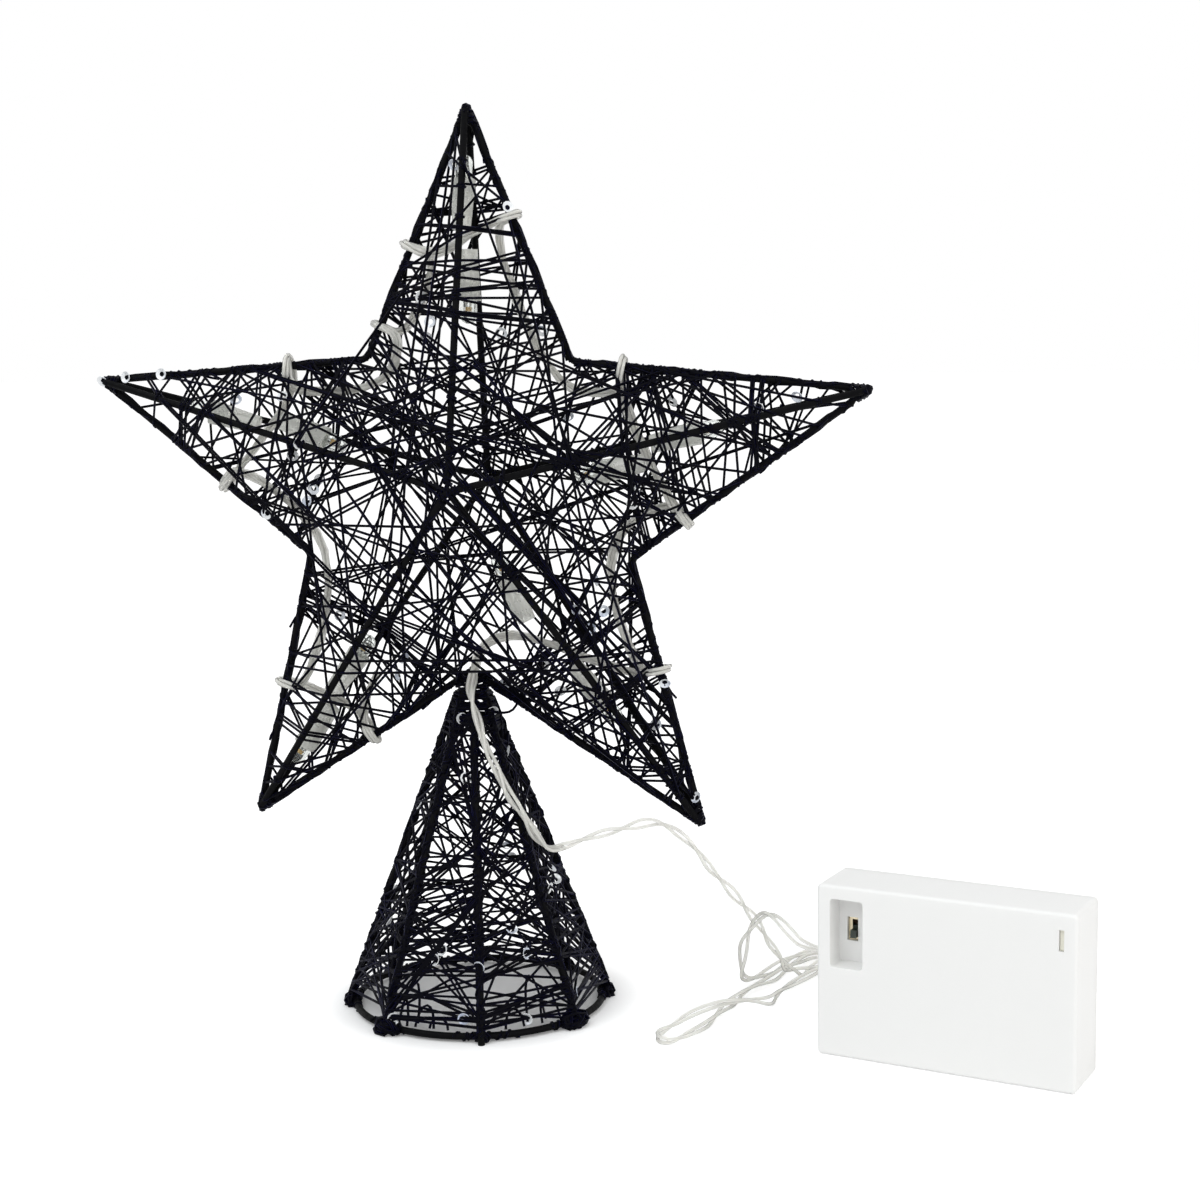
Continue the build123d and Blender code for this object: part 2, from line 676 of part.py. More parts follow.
with BuildPart() as case:
    with BuildSketch(box_plane(0)):
        with Locations(box_middle):
            RectangleRounded(box_width, box_height, BOX_CORNER)
    extrude(amount=-case_depth)
    front_face = case.faces().sort_by(Axis((0, 0, 0), tuple(box_back)))[0]
    fillet(front_face.edges(), BOX_EDGE)
    with BuildSketch(box_plane(WALL)):
        with Locations(box_middle):
            Rectangle(inner_width, inner_height)
    extrude(amount=-case_depth, mode=Mode.SUBTRACT)
    # Walls of the switch pocket and the wall beside the cells
    with BuildSketch(box_plane(WALL)):
        with Locations(pocket_middle):
            Rectangle(POCKET_WIDTH + 2 * POCKET_WALL, POCKET_HEIGHT + 2 * POCKET_WALL)
    extrude(amount=-(pocket_back - WALL))
    with BuildSketch(box_plane(WALL)):
        with Locations((bay_left - POCKET_WALL / 2, box_height / 2)):
            Rectangle(POCKET_WALL, inner_height)
    extrude(amount=-(wall_depth - WALL))
    # Stops behind the right-hand contacts
    stop_width = box_width - WALL - bay_right
    with BuildSketch(box_plane(WALL)):
        low_corner = cell_heights[2] - (CONTACT_HEIGHT - BACKSTOP) / 2
        for up in (cell_heights[0], cell_heights[1], low_corner):
            with Locations((bay_right + stop_width / 2, up)):
                Rectangle(stop_width, BACKSTOP)
    extrude(amount=-(wall_depth - WALL))
    # Cradles that the cells lie in
    with BuildSketch(box_plane(WALL)):
        for share in CRADLE_SHARES:
            with Locations((bay_left + (bay_right - bay_left) * share, box_height / 2)):
                Rectangle(CRADLE, inner_height)
    extrude(amount=-CRADLE_HEIGHT)
    for up in cell_heights:
        with BuildSketch(box_end(bay_left, cell_depth, up)):
            Circle(CELL_DIAMETER / 2 + CELL_LIFT)
        extrude(amount=bay_right - bay_left, mode=Mode.SUBTRACT)
    # Rails on each side of the switch
    rail_step = SWITCH_WIDTH / 2 + SWITCH_FIT + SWITCH_RAIL / 2
    with BuildSketch(box_plane(pocket_back)):
        for shift in (-rail_step, rail_step):
            with Locations((switch_middle[0] + shift, switch_middle[1])):
                Rectangle(SWITCH_RAIL, SWITCH_HEIGHT)
    extrude(amount=-SWITCH_DEPTH / 2)
    # Pocket, switch slot, latch slot, cord hole and the notch for the thin wire
    with BuildSketch(box_plane(0)):
        with Locations(pocket_middle):
            RectangleRounded(POCKET_WIDTH, POCKET_HEIGHT, BOX_EDGE)
    extrude(amount=-POCKET_DEPTH, mode=Mode.SUBTRACT)
    with BuildSketch(box_plane(POCKET_DEPTH)):
        with Locations(slot_middle):
            Rectangle(SLOT_WIDTH, SLOT_HEIGHT)
    extrude(amount=-POCKET_WALL, mode=Mode.SUBTRACT)
    with BuildSketch(box_plane(0)):
        with Locations(latch_middle):
            Rectangle(LATCH_SLOT_WIDTH, LATCH_SLOT_HEIGHT)
    extrude(amount=-WALL, mode=Mode.SUBTRACT)
    with BuildSketch(box_end(0, box_depth / 2, cord_height)):
        Circle(CORD / 2 + CORD_HOLE_FIT)
    extrude(amount=WALL, mode=Mode.SUBTRACT)
    with BuildSketch(box_plane(wall_depth - CORE_NOTCH_DEPTH)):
        with Locations((bay_left - POCKET_WALL / 2, cell_heights[0])):
            Rectangle(2 * POCKET_WALL, CORE_NOTCH)
    extrude(amount=-CORE_NOTCH_DEPTH, mode=Mode.SUBTRACT)
save(case.part, "battery_case")

# Cover at the back, with a lip inside the walls and the latch arm
lip_depth = case_depth - COVER_LIP
arm_width = LATCH_SLOT_WIDTH - 2 * LATCH_FIT
arm_height = LATCH_SLOT_HEIGHT - 2 * LATCH_FIT
with BuildPart() as cover:
    with BuildSketch(box_plane(box_depth - COVER)):
        with Locations(box_middle):
            RectangleRounded(box_width, box_height, BOX_CORNER)
    extrude(amount=-COVER)
    back_face = cover.faces().sort_by(Axis((0, 0, 0), tuple(box_back)))[-1]
    fillet(back_face.edges(), BOX_EDGE)
    with BuildSketch(box_plane(lip_depth)):
        with Locations(box_middle):
            Rectangle(inner_width - 2 * COVER_FIT, inner_height - 2 * COVER_FIT)
            lip_hole = 2 * (COVER_FIT + COVER_LIP_WALL)
            Rectangle(inner_width - lip_hole, inner_height - lip_hole, mode=Mode.SUBTRACT)
    extrude(amount=-(box_depth - COVER - lip_depth))
    with BuildSketch(box_plane(WALL / 2)):
        with Locations(latch_middle):
            Rectangle(arm_width, arm_height)
    extrude(amount=-(box_depth - COVER - WALL / 2))
save(cover.part, "battery_cover")

# Slide switch: a sheet metal can, its base with pins, and the knob
can_front = pocket_back + COVER_GAP
can_back = can_front + SWITCH_DEPTH
base_front = can_back - SWITCH_BASE
with BuildPart() as switch_can:
    with BuildSketch(box_plane(can_front)):
        with Locations(switch_middle):
            Rectangle(SWITCH_WIDTH, SWITCH_HEIGHT)
    extrude(amount=-SWITCH_DEPTH)
    with BuildSketch(box_plane(can_front + SWITCH_SHEET)):
        with Locations(switch_middle):
            Rectangle(SWITCH_WIDTH - 2 * SWITCH_SHEET, SWITCH_HEIGHT - 2 * SWITCH_SHEET)
    extrude(amount=-SWITCH_DEPTH, mode=Mode.SUBTRACT)
    with BuildSketch(box_plane(can_front)):
        with Locations(switch_middle):
            Rectangle(KNOB_WIDTH + 2 * SWITCH_FIT, KNOB_HEIGHT + KNOB_TRAVEL + 2 * SWITCH_FIT)
    extrude(amount=-SWITCH_SHEET, mode=Mode.SUBTRACT)
save(switch_can.part, "switch_can")

pin_step = SWITCH_HEIGHT / 4
with BuildPart() as switch_base:
    base_fit = 2 * (SWITCH_SHEET + SWITCH_FIT / 2)
    with BuildSketch(box_plane(base_front)):
        with Locations(switch_middle):
            Rectangle(SWITCH_WIDTH - base_fit, SWITCH_HEIGHT - base_fit)
    extrude(amount=-SWITCH_BASE)
    with BuildSketch(box_plane(can_back)):
        with Locations(*[(switch_middle[0], switch_middle[1] + pin_step * i) for i in (-1, 0, 1)]):
            Rectangle(2 * SWITCH_SHEET, 3 * SWITCH_SHEET)
    extrude(amount=-SWITCH_PIN)
save(switch_base.part, "switch_base")

knob_middle = (switch_middle[0], switch_middle[1] - KNOB_TRAVEL / 2)
knob_foot_front = can_front + SWITCH_SHEET + SWITCH_FIT
with BuildPart() as knob:
    with BuildSketch(box_plane(POCKET_DEPTH - KNOB_PROUD)):
        with Locations(knob_middle):
            Rectangle(KNOB_WIDTH, KNOB_HEIGHT)
    extrude(amount=-(knob_foot_front - POCKET_DEPTH + KNOB_PROUD))
    with BuildSketch(box_plane(knob_foot_front)):
        with Locations(knob_middle):
            Rectangle(KNOB_FOOT_WIDTH, KNOB_FOOT_HEIGHT)
    extrude(amount=-KNOB_FOOT_DEPTH)
save(knob.part, "switch_knob")

# Cells, turned end for end in the middle row, between flat and leaf contacts
plate_left = bay_left + CONTACT_GAP
plate_right = bay_right - CONTACT_GAP
rows = ((cell_heights[0], 1), (cell_heights[1], -1), (cell_heights[2], 1))
with BuildPart() as cells:
    for up, way in rows:
        cap_end = plate_right - CONTACT - CONTACT_GAP
        if way < 0:
            cap_end = plate_left + CONTACT + CONTACT_GAP
        flat_end = box_point(cap_end - way * CELL_LENGTH, cell_depth, up)
        plane = Plane(origin=flat_end, z_dir=box_right * way)
        with BuildSketch(plane):
            Circle(CELL_DIAMETER / 2)
        extrude(amount=CELL_LENGTH - CELL_CAP_HEIGHT)
        with BuildSketch(plane.offset(CELL_LENGTH - CELL_CAP_HEIGHT)):
            Circle(CELL_CAP / 2)
        extrude(amount=CELL_CAP_HEIGHT)
save(cells.part, "battery_cells")

plate_spans = (
    (plate_left, cell_heights[0], cell_heights[0]),
    (plate_left, cell_heights[1], cell_heights[2]),
    (plate_right - CONTACT, cell_heights[0], cell_heights[1]),
    (plate_right - CONTACT, cell_heights[2], cell_heights[2]),
)
with BuildPart() as plates:
    for across, low, high in plate_spans:
        with BuildSketch(box_end(across, cell_depth, (low + high) / 2)):
            Rectangle(high - low + CONTACT_HEIGHT, CONTACT_WIDTH)
        extrude(amount=CONTACT)
save(plates.part, "contact_plates")

# Leaf springs at the flat ends of the cells, bowed strips
foot = LEAF_SPAN / 2
with BuildPart() as leaves:
    for up, way in rows:
        across = plate_left + CONTACT + CONTACT_GAP
        if way < 0:
            across = plate_right - CONTACT - CONTACT_GAP
        seat = Plane(origin=box_point(across, cell_depth, up), x_dir=box_right * way, z_dir=box_back)
        with BuildSketch(seat):
            with BuildLine():
                Polyline((0, -foot), (CONTACT, -foot), (LEAF_RISE, 0), (CONTACT, foot), (0, foot), close=True)
            make_face()
            inner = foot - CONTACT
            with BuildLine():
                Polyline((0, -inner), (LEAF_RISE - CONTACT, 0), (0, inner), close=True)
            make_face(mode=Mode.SUBTRACT)
        extrude(amount=CONTACT_WIDTH / 4, both=True)
save(leaves.part, "contact_leaves")

# Lead: the bundle down the cone, the arch through the air, the hank on the table and the loop to the box
entry_way = (entry_front - entry_inside).normalized()
bundle_points = [entry_front, entry_front + entry_way * BUNDLE]
bundle_points += [neck + Vector(point) for point in BUNDLE_POINTS]
hank_way = Vector(cos(radians(HANK_BEARING)), sin(radians(HANK_BEARING)), 0)
hank_across = Vector(hank_way.Y, -hank_way.X, 0)


def hank_point(along, across):
    """A point of the hank, lying on the table, from the middle of its far folds."""
    return Vector(*HANK_FOLD, CORD / 2 + WELD) + hank_way * along + hank_across * across


def hank_side(run):
    """How far a run of the hank lies to one side of its middle: each pair of runs one step wider."""
    reach = HANK_FOLD_RADIUS + HANK_STEP * (run // 2)
    return reach if run % 2 == 0 else -reach


with BuildPart() as hank:
    with BuildLine() as hank_path:
        for run in range(HANK_RUNS):
            away = run % 2 == 0
            start = HANK_START if run == 0 else (0 if away else HANK_LENGTH)
            end = HANK_FINISH if run == HANK_RUNS - 1 else (HANK_LENGTH if away else 0)
            side = hank_side(run)
            Line(hank_point(start, side), hank_point(end, side))
            if run < HANK_RUNS - 1:
                other = hank_side(run + 1)
                bulge = abs(side - other) / 2 * (1 if away else -1)
                crown = hank_point(end + bulge, (side + other) / 2)
                ThreePointArc(hank_point(end, side), crown, hank_point(end, other))
    with BuildSketch(Plane(origin=hank_path.line @ 0, z_dir=hank_path.line % 0)):
        Circle(CORD / 2)
    sweep()
save(hank.part, "cord_hank")
print("hank, least gap to itself", round(least_gap(hank_path.wire(), CORD), 2))

hank_start = hank_point(HANK_START, hank_side(0))
arch_points = [bundle_points[-1]] + [Vector(point) for point in ARCH_POINTS]
arch_points += [hank_start - hank_way * HANK_LEAD_IN, hank_start]
hank_finish = hank_point(HANK_FINISH, hank_side(HANK_RUNS - 1))
hank_out = hank_way if HANK_RUNS % 2 else hank_way * -1
cord_hole = box_point(0, box_depth / 2, cord_height)
loop_points = [hank_finish, hank_finish + hank_out * HANK_LEAD_IN] + [Vector(point) for point in LOOP_POINTS]
loop_points += [cord_hole - box_right * 3 * CORD, cord_hole + box_right * CORD_INSIDE]
leads = (("lead_bundle", bundle_points), ("lead_cord", arch_points), ("box_cord", loop_points))
for name, points in leads:
    radii = corner_radii(points)
    print(name, "bend radii", [round(radius, 1) for radius in radii])
    diameter = BUNDLE if name == "lead_bundle" else CORD
    save(bent_tube(points, diameter, radii), name)

# Thin wires from the end of the lead to the switch and to the first contact
core_side = (CORE_WIRE + CORE_GAP) / 2
core_in = CORD_INSIDE + CORE_GAP
core_depth = box_depth / 2
pin_depth = can_back + SWITCH_PIN / 2
pin_low = switch_middle[1] - pin_step - 1.5 * SWITCH_SHEET - WELD
notch_depth = wall_depth - CORE_NOTCH_DEPTH + CORE_WIRE
switch_core = (
    box_point(core_in, core_depth, cord_height + core_side),
    box_point((core_in + switch_middle[0]) / 2, (core_depth + pin_depth) / 2, cord_height + core_side),
    box_point(switch_middle[0], pin_depth, (cord_height + pin_low) / 2),
    box_point(switch_middle[0], pin_depth, pin_low),
)
contact_core = (
    box_point(core_in, core_depth, cord_height - core_side),
    box_point((core_in + bay_left) / 2, (core_depth + notch_depth) / 2, cord_height - 2 * CORE_WIRE),
    box_point((core_in + bay_left) / 2, notch_depth, (cord_height + cell_heights[0]) / 2),
    box_point((core_in + 2 * bay_left) / 3, notch_depth, cell_heights[0]),
    box_point(plate_left - WELD, notch_depth, cell_heights[0]),
)
with BuildPart() as cores:
    for points in (switch_core, contact_core):
        add(bent_tube(points, CORE_WIRE, corner_radii(points)))
save(cores.part, "core_wires")
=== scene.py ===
import math
import random

import bmesh
import bpy
from mathutils import Matrix, Vector, geometry


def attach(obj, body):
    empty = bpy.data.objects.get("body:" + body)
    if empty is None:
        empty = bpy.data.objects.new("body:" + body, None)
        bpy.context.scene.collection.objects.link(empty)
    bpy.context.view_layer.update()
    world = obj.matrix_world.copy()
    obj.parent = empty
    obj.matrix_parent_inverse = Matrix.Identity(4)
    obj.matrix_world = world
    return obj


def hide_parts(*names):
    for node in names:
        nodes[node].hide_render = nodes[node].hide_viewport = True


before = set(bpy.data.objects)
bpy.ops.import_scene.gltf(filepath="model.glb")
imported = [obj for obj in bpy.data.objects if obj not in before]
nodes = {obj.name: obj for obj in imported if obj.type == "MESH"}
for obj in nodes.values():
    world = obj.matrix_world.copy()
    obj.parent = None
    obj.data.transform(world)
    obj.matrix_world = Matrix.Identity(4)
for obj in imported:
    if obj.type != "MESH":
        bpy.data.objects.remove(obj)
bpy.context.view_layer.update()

# Star and cone frame: hard drawn steel wire, bent by hand, spot welded and dipped in black lacquer.
# The wires themselves come with the frame, and here they get their finish.
MM = 0.001
FRAME_WIRES = (
    "star_outline_wire", "front_left_cross_wire", "front_right_cross_wire", "front_top_wire",
    "back_left_cross_wire", "back_right_cross_wire", "back_top_wire",
    "cone_base_ring", "cone_neck_ring", "cone_long_ribs", "cone_short_ribs",
)
LACQUER_BLACK = (0.0015, 0.0015, 0.002, 1.0)
LACQUER_DULL = {"Specular IOR Level": 0.06}


def set_values(node, values):
    """Puts plain values on a node's sockets."""
    for socket, value in values.items():
        node.inputs[socket].default_value = value


def add_node(tree, kind, values=None, operation=None):
    """A new node in a tree, with plain values on its sockets."""
    node = tree.nodes.new(f"ShaderNode{kind}")
    if operation:
        node.operation = operation
    set_values(node, values or {})
    return node


def add_group(tree, group, values):
    """A shared group in a tree, with its own values there."""
    node = add_node(tree, "Group")
    node.node_tree = group
    set_values(node, values)
    return node


def link(tree, *rows):
    """Links nodes: each row has a node, its output, the node it goes to and the input there."""
    for start, output, end, entry in rows:
        tree.links.new(start.outputs[output], end.inputs[entry])


def new_group(name, inputs, outputs):
    """A node group with number sockets, and its nodes for what comes in and what goes out."""
    group = bpy.data.node_groups.new(name, "ShaderNodeTree")
    for socket, start in inputs.items():
        made = group.interface.new_socket(socket, in_out="INPUT", socket_type="NodeSocketFloat")
        made.default_value = start
    for socket in outputs:
        group.interface.new_socket(socket, in_out="OUTPUT", socket_type="NodeSocketFloat")
    return group, group.nodes.new("NodeGroupInput"), group.nodes.new("NodeGroupOutput")


def uneven_group():
    """Shared unevenness of a surface: a value between two limits, and a height for its bump."""
    starts = {"Scale": 500.0, "Low": 0.3, "High": 0.6}
    group, inside, outside = new_group("unevenness", starts, ("Value", "Height"))
    place = add_node(group, "TexCoord")
    noise = add_node(group, "TexNoise", {"Detail": 4.0})
    spread = add_node(group, "MapRange", {"From Min": 0.3, "From Max": 0.7})
    link(
        group,
        (place, "Object", noise, "Vector"),
        (inside, "Scale", noise, "Scale"),
        (noise, "Fac", spread, "Value"),
        (inside, "Low", spread, "To Min"),
        (inside, "High", spread, "To Max"),
        (spread, "Result", outside, "Value"),
        (noise, "Fac", outside, "Height"),
    )
    return group


unevenness = uneven_group()


def new_material(name, values):
    """A node material with its tree and its shader, with plain values on the shader's sockets."""
    made = bpy.data.materials.new(name)
    made.use_nodes = True
    shader = made.node_tree.nodes["Principled BSDF"]
    set_values(shader, values)
    return made, made.node_tree, shader


def new_finish(name, grain, rough, bump, colour=None, values=None):
    """A material with uneven roughness and a fine bump, both from the shared unevenness."""
    finish, tree, shader = new_material(name, values or {})
    if colour:
        set_values(shader, {"Base Color": colour})
    uneven = add_group(tree, unevenness, {"Scale": grain, "Low": rough[0], "High": rough[1]})
    relief = add_node(tree, "Bump", {"Distance": bump})
    link(
        tree,
        (uneven, "Value", shader, "Roughness"),
        (uneven, "Height", relief, "Height"),
        (relief, "Normal", shader, "Normal"),
    )
    return finish


def dress(names, finish):
    """Gives pieces of the frame their finish."""
    for name in names:
        for place in nodes[name].material_slots:
            place.material = finish


lacquer = new_finish("black_lacquer", 900.0, (0.4, 0.7), 0.05 * MM, LACQUER_BLACK, LACQUER_DULL)
dress(FRAME_WIRES, lacquer)

# Thread on the star: black two-ply thread, wound by hand in straight lines over the frame, arm after arm.
# Each line goes over the ridges from one side of the outline to another, and half round the wire there.
# Shares are measured along a wire from its tip, and seats are counted in threads from the wire's surface.
WIRE = 2.0 * MM
WELD = 0.05 * MM
ARM_REACH = (111.0, 118.8, 115.2, 113.2, 114.2)
ARM_BEARING = (89.0, 15.0, -54.6, -125.4, -198.0)
ARM_NAMES = ("top", "right", "lower_right", "lower_left", "left")
ARMS = len(ARM_NAMES)
ARM_SEED = 20
NOTCH_RADIUS = 49.8 * MM
NECK_HEIGHT = 99.5 * MM
APEX_DEPTH = 27.3 * MM
APEX_RISE = 4.6 * MM
STAR_HEIGHT = NECK_HEIGHT + NOTCH_RADIUS
THREAD = 0.76 * MM
THREAD_BLACK = (0.001, 0.001, 0.003, 1.0)
FUZZ_BLUE = (0.12, 0.12, 0.7, 1.0)
FUZZ = {"Specular IOR Level": 0.05, "Sheen Weight": 0.1, "Sheen Roughness": 0.3, "Sheen Tint": FUZZ_BLUE}
PLY_TURNS = 14.0
FIRM_FROM = 8.0
FIRM_STEP = 1.5
ARM_LINES = 29
ACROSS_CHANCE = 0.64
ACROSS_SLANT = 0.17
ACROSS_DRIFT = 0.62
CATCH_CHANCE = 0.06
CATCHES = 3
CATCH_SPAN = (0.15, 0.95)
MIDDLE_FROM = 0.5
MIDDLE_RING = (14.0 * MM, 48.0 * MM)
HOLD_CHANCE = 0.3
HOLD_TRIES = 60
TWIN_CHANCE = 0.3
TWIN_STEP = 0.016
TWIN_SPREAD = (0.6, 1.6)
TWIN_SLANT = 2.5
END_SHARE = 0.03
INWARD = 0.05
WRAP_STEP = 45
WRAP_SEAT = (-0.4, 0.05)
WRAP_CLIMB = 3.5 * MM
RIDGE_SEAT = 0.25
TIP_LASHING = (0.8 * MM, 4.6 * MM)
TIP_TURNS = 5
TIP_STRAY = 0.5 * MM
TIP_SEAT = (-0.2, 0.4)
TIP_KNOT = 1.2 * MM
TIP_SHARE = 0.006
TIP_LOOPS = 8
KNOT_WIDTH = 1.5
KNOT_SPREAD = (0.7, 1.15)
LOOSE_ENDS = 4
LOOSE_SPAN = (0.15, 0.9)
LOOSE_LENGTH = (1.5 * MM, 4.5 * MM)
LOOSE_LIFT = 0.35
LOOSE_CURL = (-0.2, 0.8)
SHEATH_SPAN = (0.02, 0.99)
SHEATH_STRANDS = 4
SHEATH_OUT = (-0.2 * MM, 0.12 * MM)
SHEATH_STEP = 4.0 * MM
SHEATH_LAY = 42.0 * MM
SHEATH_VARY = (0.6, 1.6)
SHEATH_STRAY = 18.0
# Sequins caught on the front and the outline: how far to the right of the middle, and how high.
STAR_CAUGHT = (
    (-108.6, 184.4), (-101.4, 185.6), (-90.5, 186.4), (-66.3, 179.1), (-44.7, 166.7), (-47.6, 163.4),
    (-42.7, 153.4), (-60.2, 145.4), (-1.2, 243.9), (13.8, 232.1), (-7.5, 200.5), (22.9, 197.3),
    (84.2, 175.2), (94.6, 178.2), (57.1, 165.6), (10.5, 96.7), (56.6, 96.6), (65.2, 63.6),
    (54.1, 85.2), (33.2, 119.4), (36.8, 113.8), (38.7, 97.0),
)


def star_point(reach, bearing, y=0.0):
    """A point of the star's middle plane, or in front of it or behind it by y."""
    turn = math.radians(bearing)
    return Vector((reach * math.cos(turn), y, STAR_HEIGHT + reach * math.sin(turn)))


tips = [star_point(reach * MM, bearing) for reach, bearing in zip(ARM_REACH, ARM_BEARING)]
next_bearing = ARM_BEARING[1:] + (ARM_BEARING[0] - 360,)
notch_bearing = [(here + after) / 2 for here, after in zip(ARM_BEARING, next_bearing)]
notches = [star_point(NOTCH_RADIUS, bearing) for bearing in notch_bearing]
lap = WIRE + WELD
apex_lap = (0.0, lap / 2, -lap / 2, lap / 2, -lap / 2)


def ply_group():
    """Shared twist of a two-ply thread: a height that winds round the strand."""
    group, inside, outside = new_group("ply_twist", {"Turns": 10.0}, ("Height",))
    place = add_node(group, "UVMap")
    split = add_node(group, "SeparateXYZ")
    along = add_node(group, "Math", operation="MULTIPLY")
    both = add_node(group, "Math", {1: 2.0}, "MULTIPLY_ADD")
    wave = add_node(group, "Math", {1: 2 * math.pi}, "MULTIPLY")
    curl = add_node(group, "Math", operation="SINE")
    link(
        group,
        (place, "UV", split, "Vector"),
        (split, "X", along, 0),
        (inside, "Turns", along, 1),
        (split, "Y", both, 0),
        (along, "Value", both, 2),
        (both, "Value", wave, 0),
        (wave, "Value", curl, 0),
        (curl, "Value", outside, "Height"),
    )
    return group


thread_finish = new_finish("black_thread", 2500.0, (0.35, 0.6), 0.12 * MM, THREAD_BLACK, FUZZ)
thread_tree = thread_finish.node_tree
thread_twist = add_group(thread_tree, ply_group(), {"Turns": PLY_TURNS})
link(thread_tree, (thread_twist, "Height", thread_tree.nodes["Bump"], "Height"))


def firm_path(path, radius):
    """A path with points added beside its turns, so that a strand keeps its width between them."""
    firm = [path[0]]
    for before, place in zip(path, path[1:]):
        length = (place - before).length
        if length > FIRM_FROM * radius:
            firm.append(before.lerp(place, FIRM_STEP * radius / length))
            firm.append(place.lerp(before, FIRM_STEP * radius / length))
        firm.append(place)
    return firm


def new_curve(name, kind, paths):
    """A curve with a spline of one kind along each path."""
    curve = bpy.data.curves.new(name, "CURVE")
    curve.dimensions = "3D"
    for path in paths:
        spline = curve.splines.new(kind)
        spline.points.add(len(path) - 1)
        for point, place in zip(spline.points, path):
            point.co = (*place, 1.0)
    piece = bpy.data.objects.new(name, curve)
    bpy.context.collection.objects.link(piece)
    return piece


def select_only(pieces):
    """Selects these pieces and no others, with the first one active."""
    bpy.ops.object.select_all(action="DESELECT")
    for piece in pieces:
        piece.select_set(True)
    bpy.context.view_layer.objects.active = pieces[0]


def strand_piece(name, paths, radius, finish, sides=1):
    """Round strands along the given paths, drawn as bevelled curves and turned into one mesh."""
    piece = new_curve(name, "POLY", [firm_path(path, radius) for path in paths])
    piece.data.bevel_depth = radius
    piece.data.bevel_resolution = sides
    piece.data.use_fill_caps = True
    select_only([piece])
    bpy.ops.object.convert(target="MESH")
    piece.data.materials.append(finish)
    return piece


def outline_wire(arm, turn, side):
    """Tip end, notch end and two square directions of a side of the outline: to a face, and outwards."""
    start, end = tips[arm], notches[arm if turn > 0 else arm - 1]
    along = (end - start).normalized()
    out = Vector((along.z, 0, -along.x)) * turn
    return start, end, Vector((0, side, 0)), -out if out.dot(star_point(0, 0) - start) > 0 else out


def straight_wire(start, end, facing):
    """Both ends of a wire and two directions square to it, the first one turned the way it faces."""
    along = (end - start).normalized()
    facing = (facing - along * facing.dot(along)).normalized()
    return start, end, facing, along.cross(facing)


def ridge_wire(arm, side):
    """Tip end, apex end and two square directions of a ridge: out of its face, and sideways."""
    start = star_point(ARM_REACH[arm] * MM - WIRE / 2, ARM_BEARING[arm], side * lap)
    end = Vector((0, side * (APEX_DEPTH + apex_lap[arm]), STAR_HEIGHT + APEX_RISE))
    return straight_wire(start, end, Vector((0, side, 0)))


def wrap_points(wire, share, first, last, radius, climb=0.0):
    """Points of a thread round a wire from one angle to another, moving on along it."""
    start, end, facing, across = wire
    along = (end - start).normalized()
    steps = max(1, round(abs(last - first) / WRAP_STEP))
    points = []
    for step in range(steps + 1):
        turn = math.radians(first + (last - first) * step / steps)
        place = start.lerp(end, share) + along * climb * step / steps
        points.append(place + (facing * math.cos(turn) + across * math.sin(turn)) * radius)
    return points


def lines_cross(here, way, one, two):
    """How far along two lines they cross, seen from the front."""
    other, gap = two - one, one - here
    spread = way.x * other.z - way.z * other.x
    if abs(spread) < 1e-9:
        return -1.0, -1.0
    return (gap.x * other.z - gap.z * other.x) / spread, (gap.x * way.z - gap.z * way.x) / spread


def face_line(arm, turn, share, way, side, chance):
    """A thread over a face of the star: from a wire over the ridges in its way to the next wire it meets."""
    first = outline_wire(arm, turn, side)
    if way.dot(first[3]) > -INWARD:
        return None
    here = first[0].lerp(first[1], share)
    met = []
    for to_arm in range(ARMS):
        for to_turn in (-1, 1):
            one, two = outline_wire(to_arm, to_turn, side)[:2]
            reach, to_share = lines_cross(here, way, one, two)
            if (to_arm, to_turn) != (arm, turn) and reach > 0 and 0 < to_share < 1:
                met.append((reach, to_arm, to_turn, to_share))
    if not met:
        return None
    last_reach, to_arm, to_turn, to_share = min(met)
    if not END_SHARE < to_share < 1 - END_SHARE:
        return None
    over = []
    for ridge in range(ARMS):
        wire = ridge_wire(ridge, side)
        reach, ridge_share = lines_cross(here, way, wire[0], wire[1])
        if 0 < reach < last_reach and 0 < ridge_share < 1:
            hold = 360 if chance.random() < HOLD_CHANCE else 0
            contact = wrap_points(wire, ridge_share, 0, hold, WIRE / 2 + THREAD * RIDGE_SEAT, THREAD)
            over.append((reach, contact))
    last = outline_wire(to_arm, to_turn, side)
    seats = [WIRE / 2 + THREAD * chance.uniform(*WRAP_SEAT) for end in range(2)]
    climbs = [chance.uniform(-WRAP_CLIMB, WRAP_CLIMB) for end in range(2)]
    path = wrap_points(first, share, 0, 180, seats[0], climbs[0])[::-1]
    for reach, contact in sorted(over, key=lambda item: item[0]):
        path += contact if len(contact) > 2 else contact[:1]
    return path + wrap_points(last, to_share, 0, 180, seats[1], climbs[1])


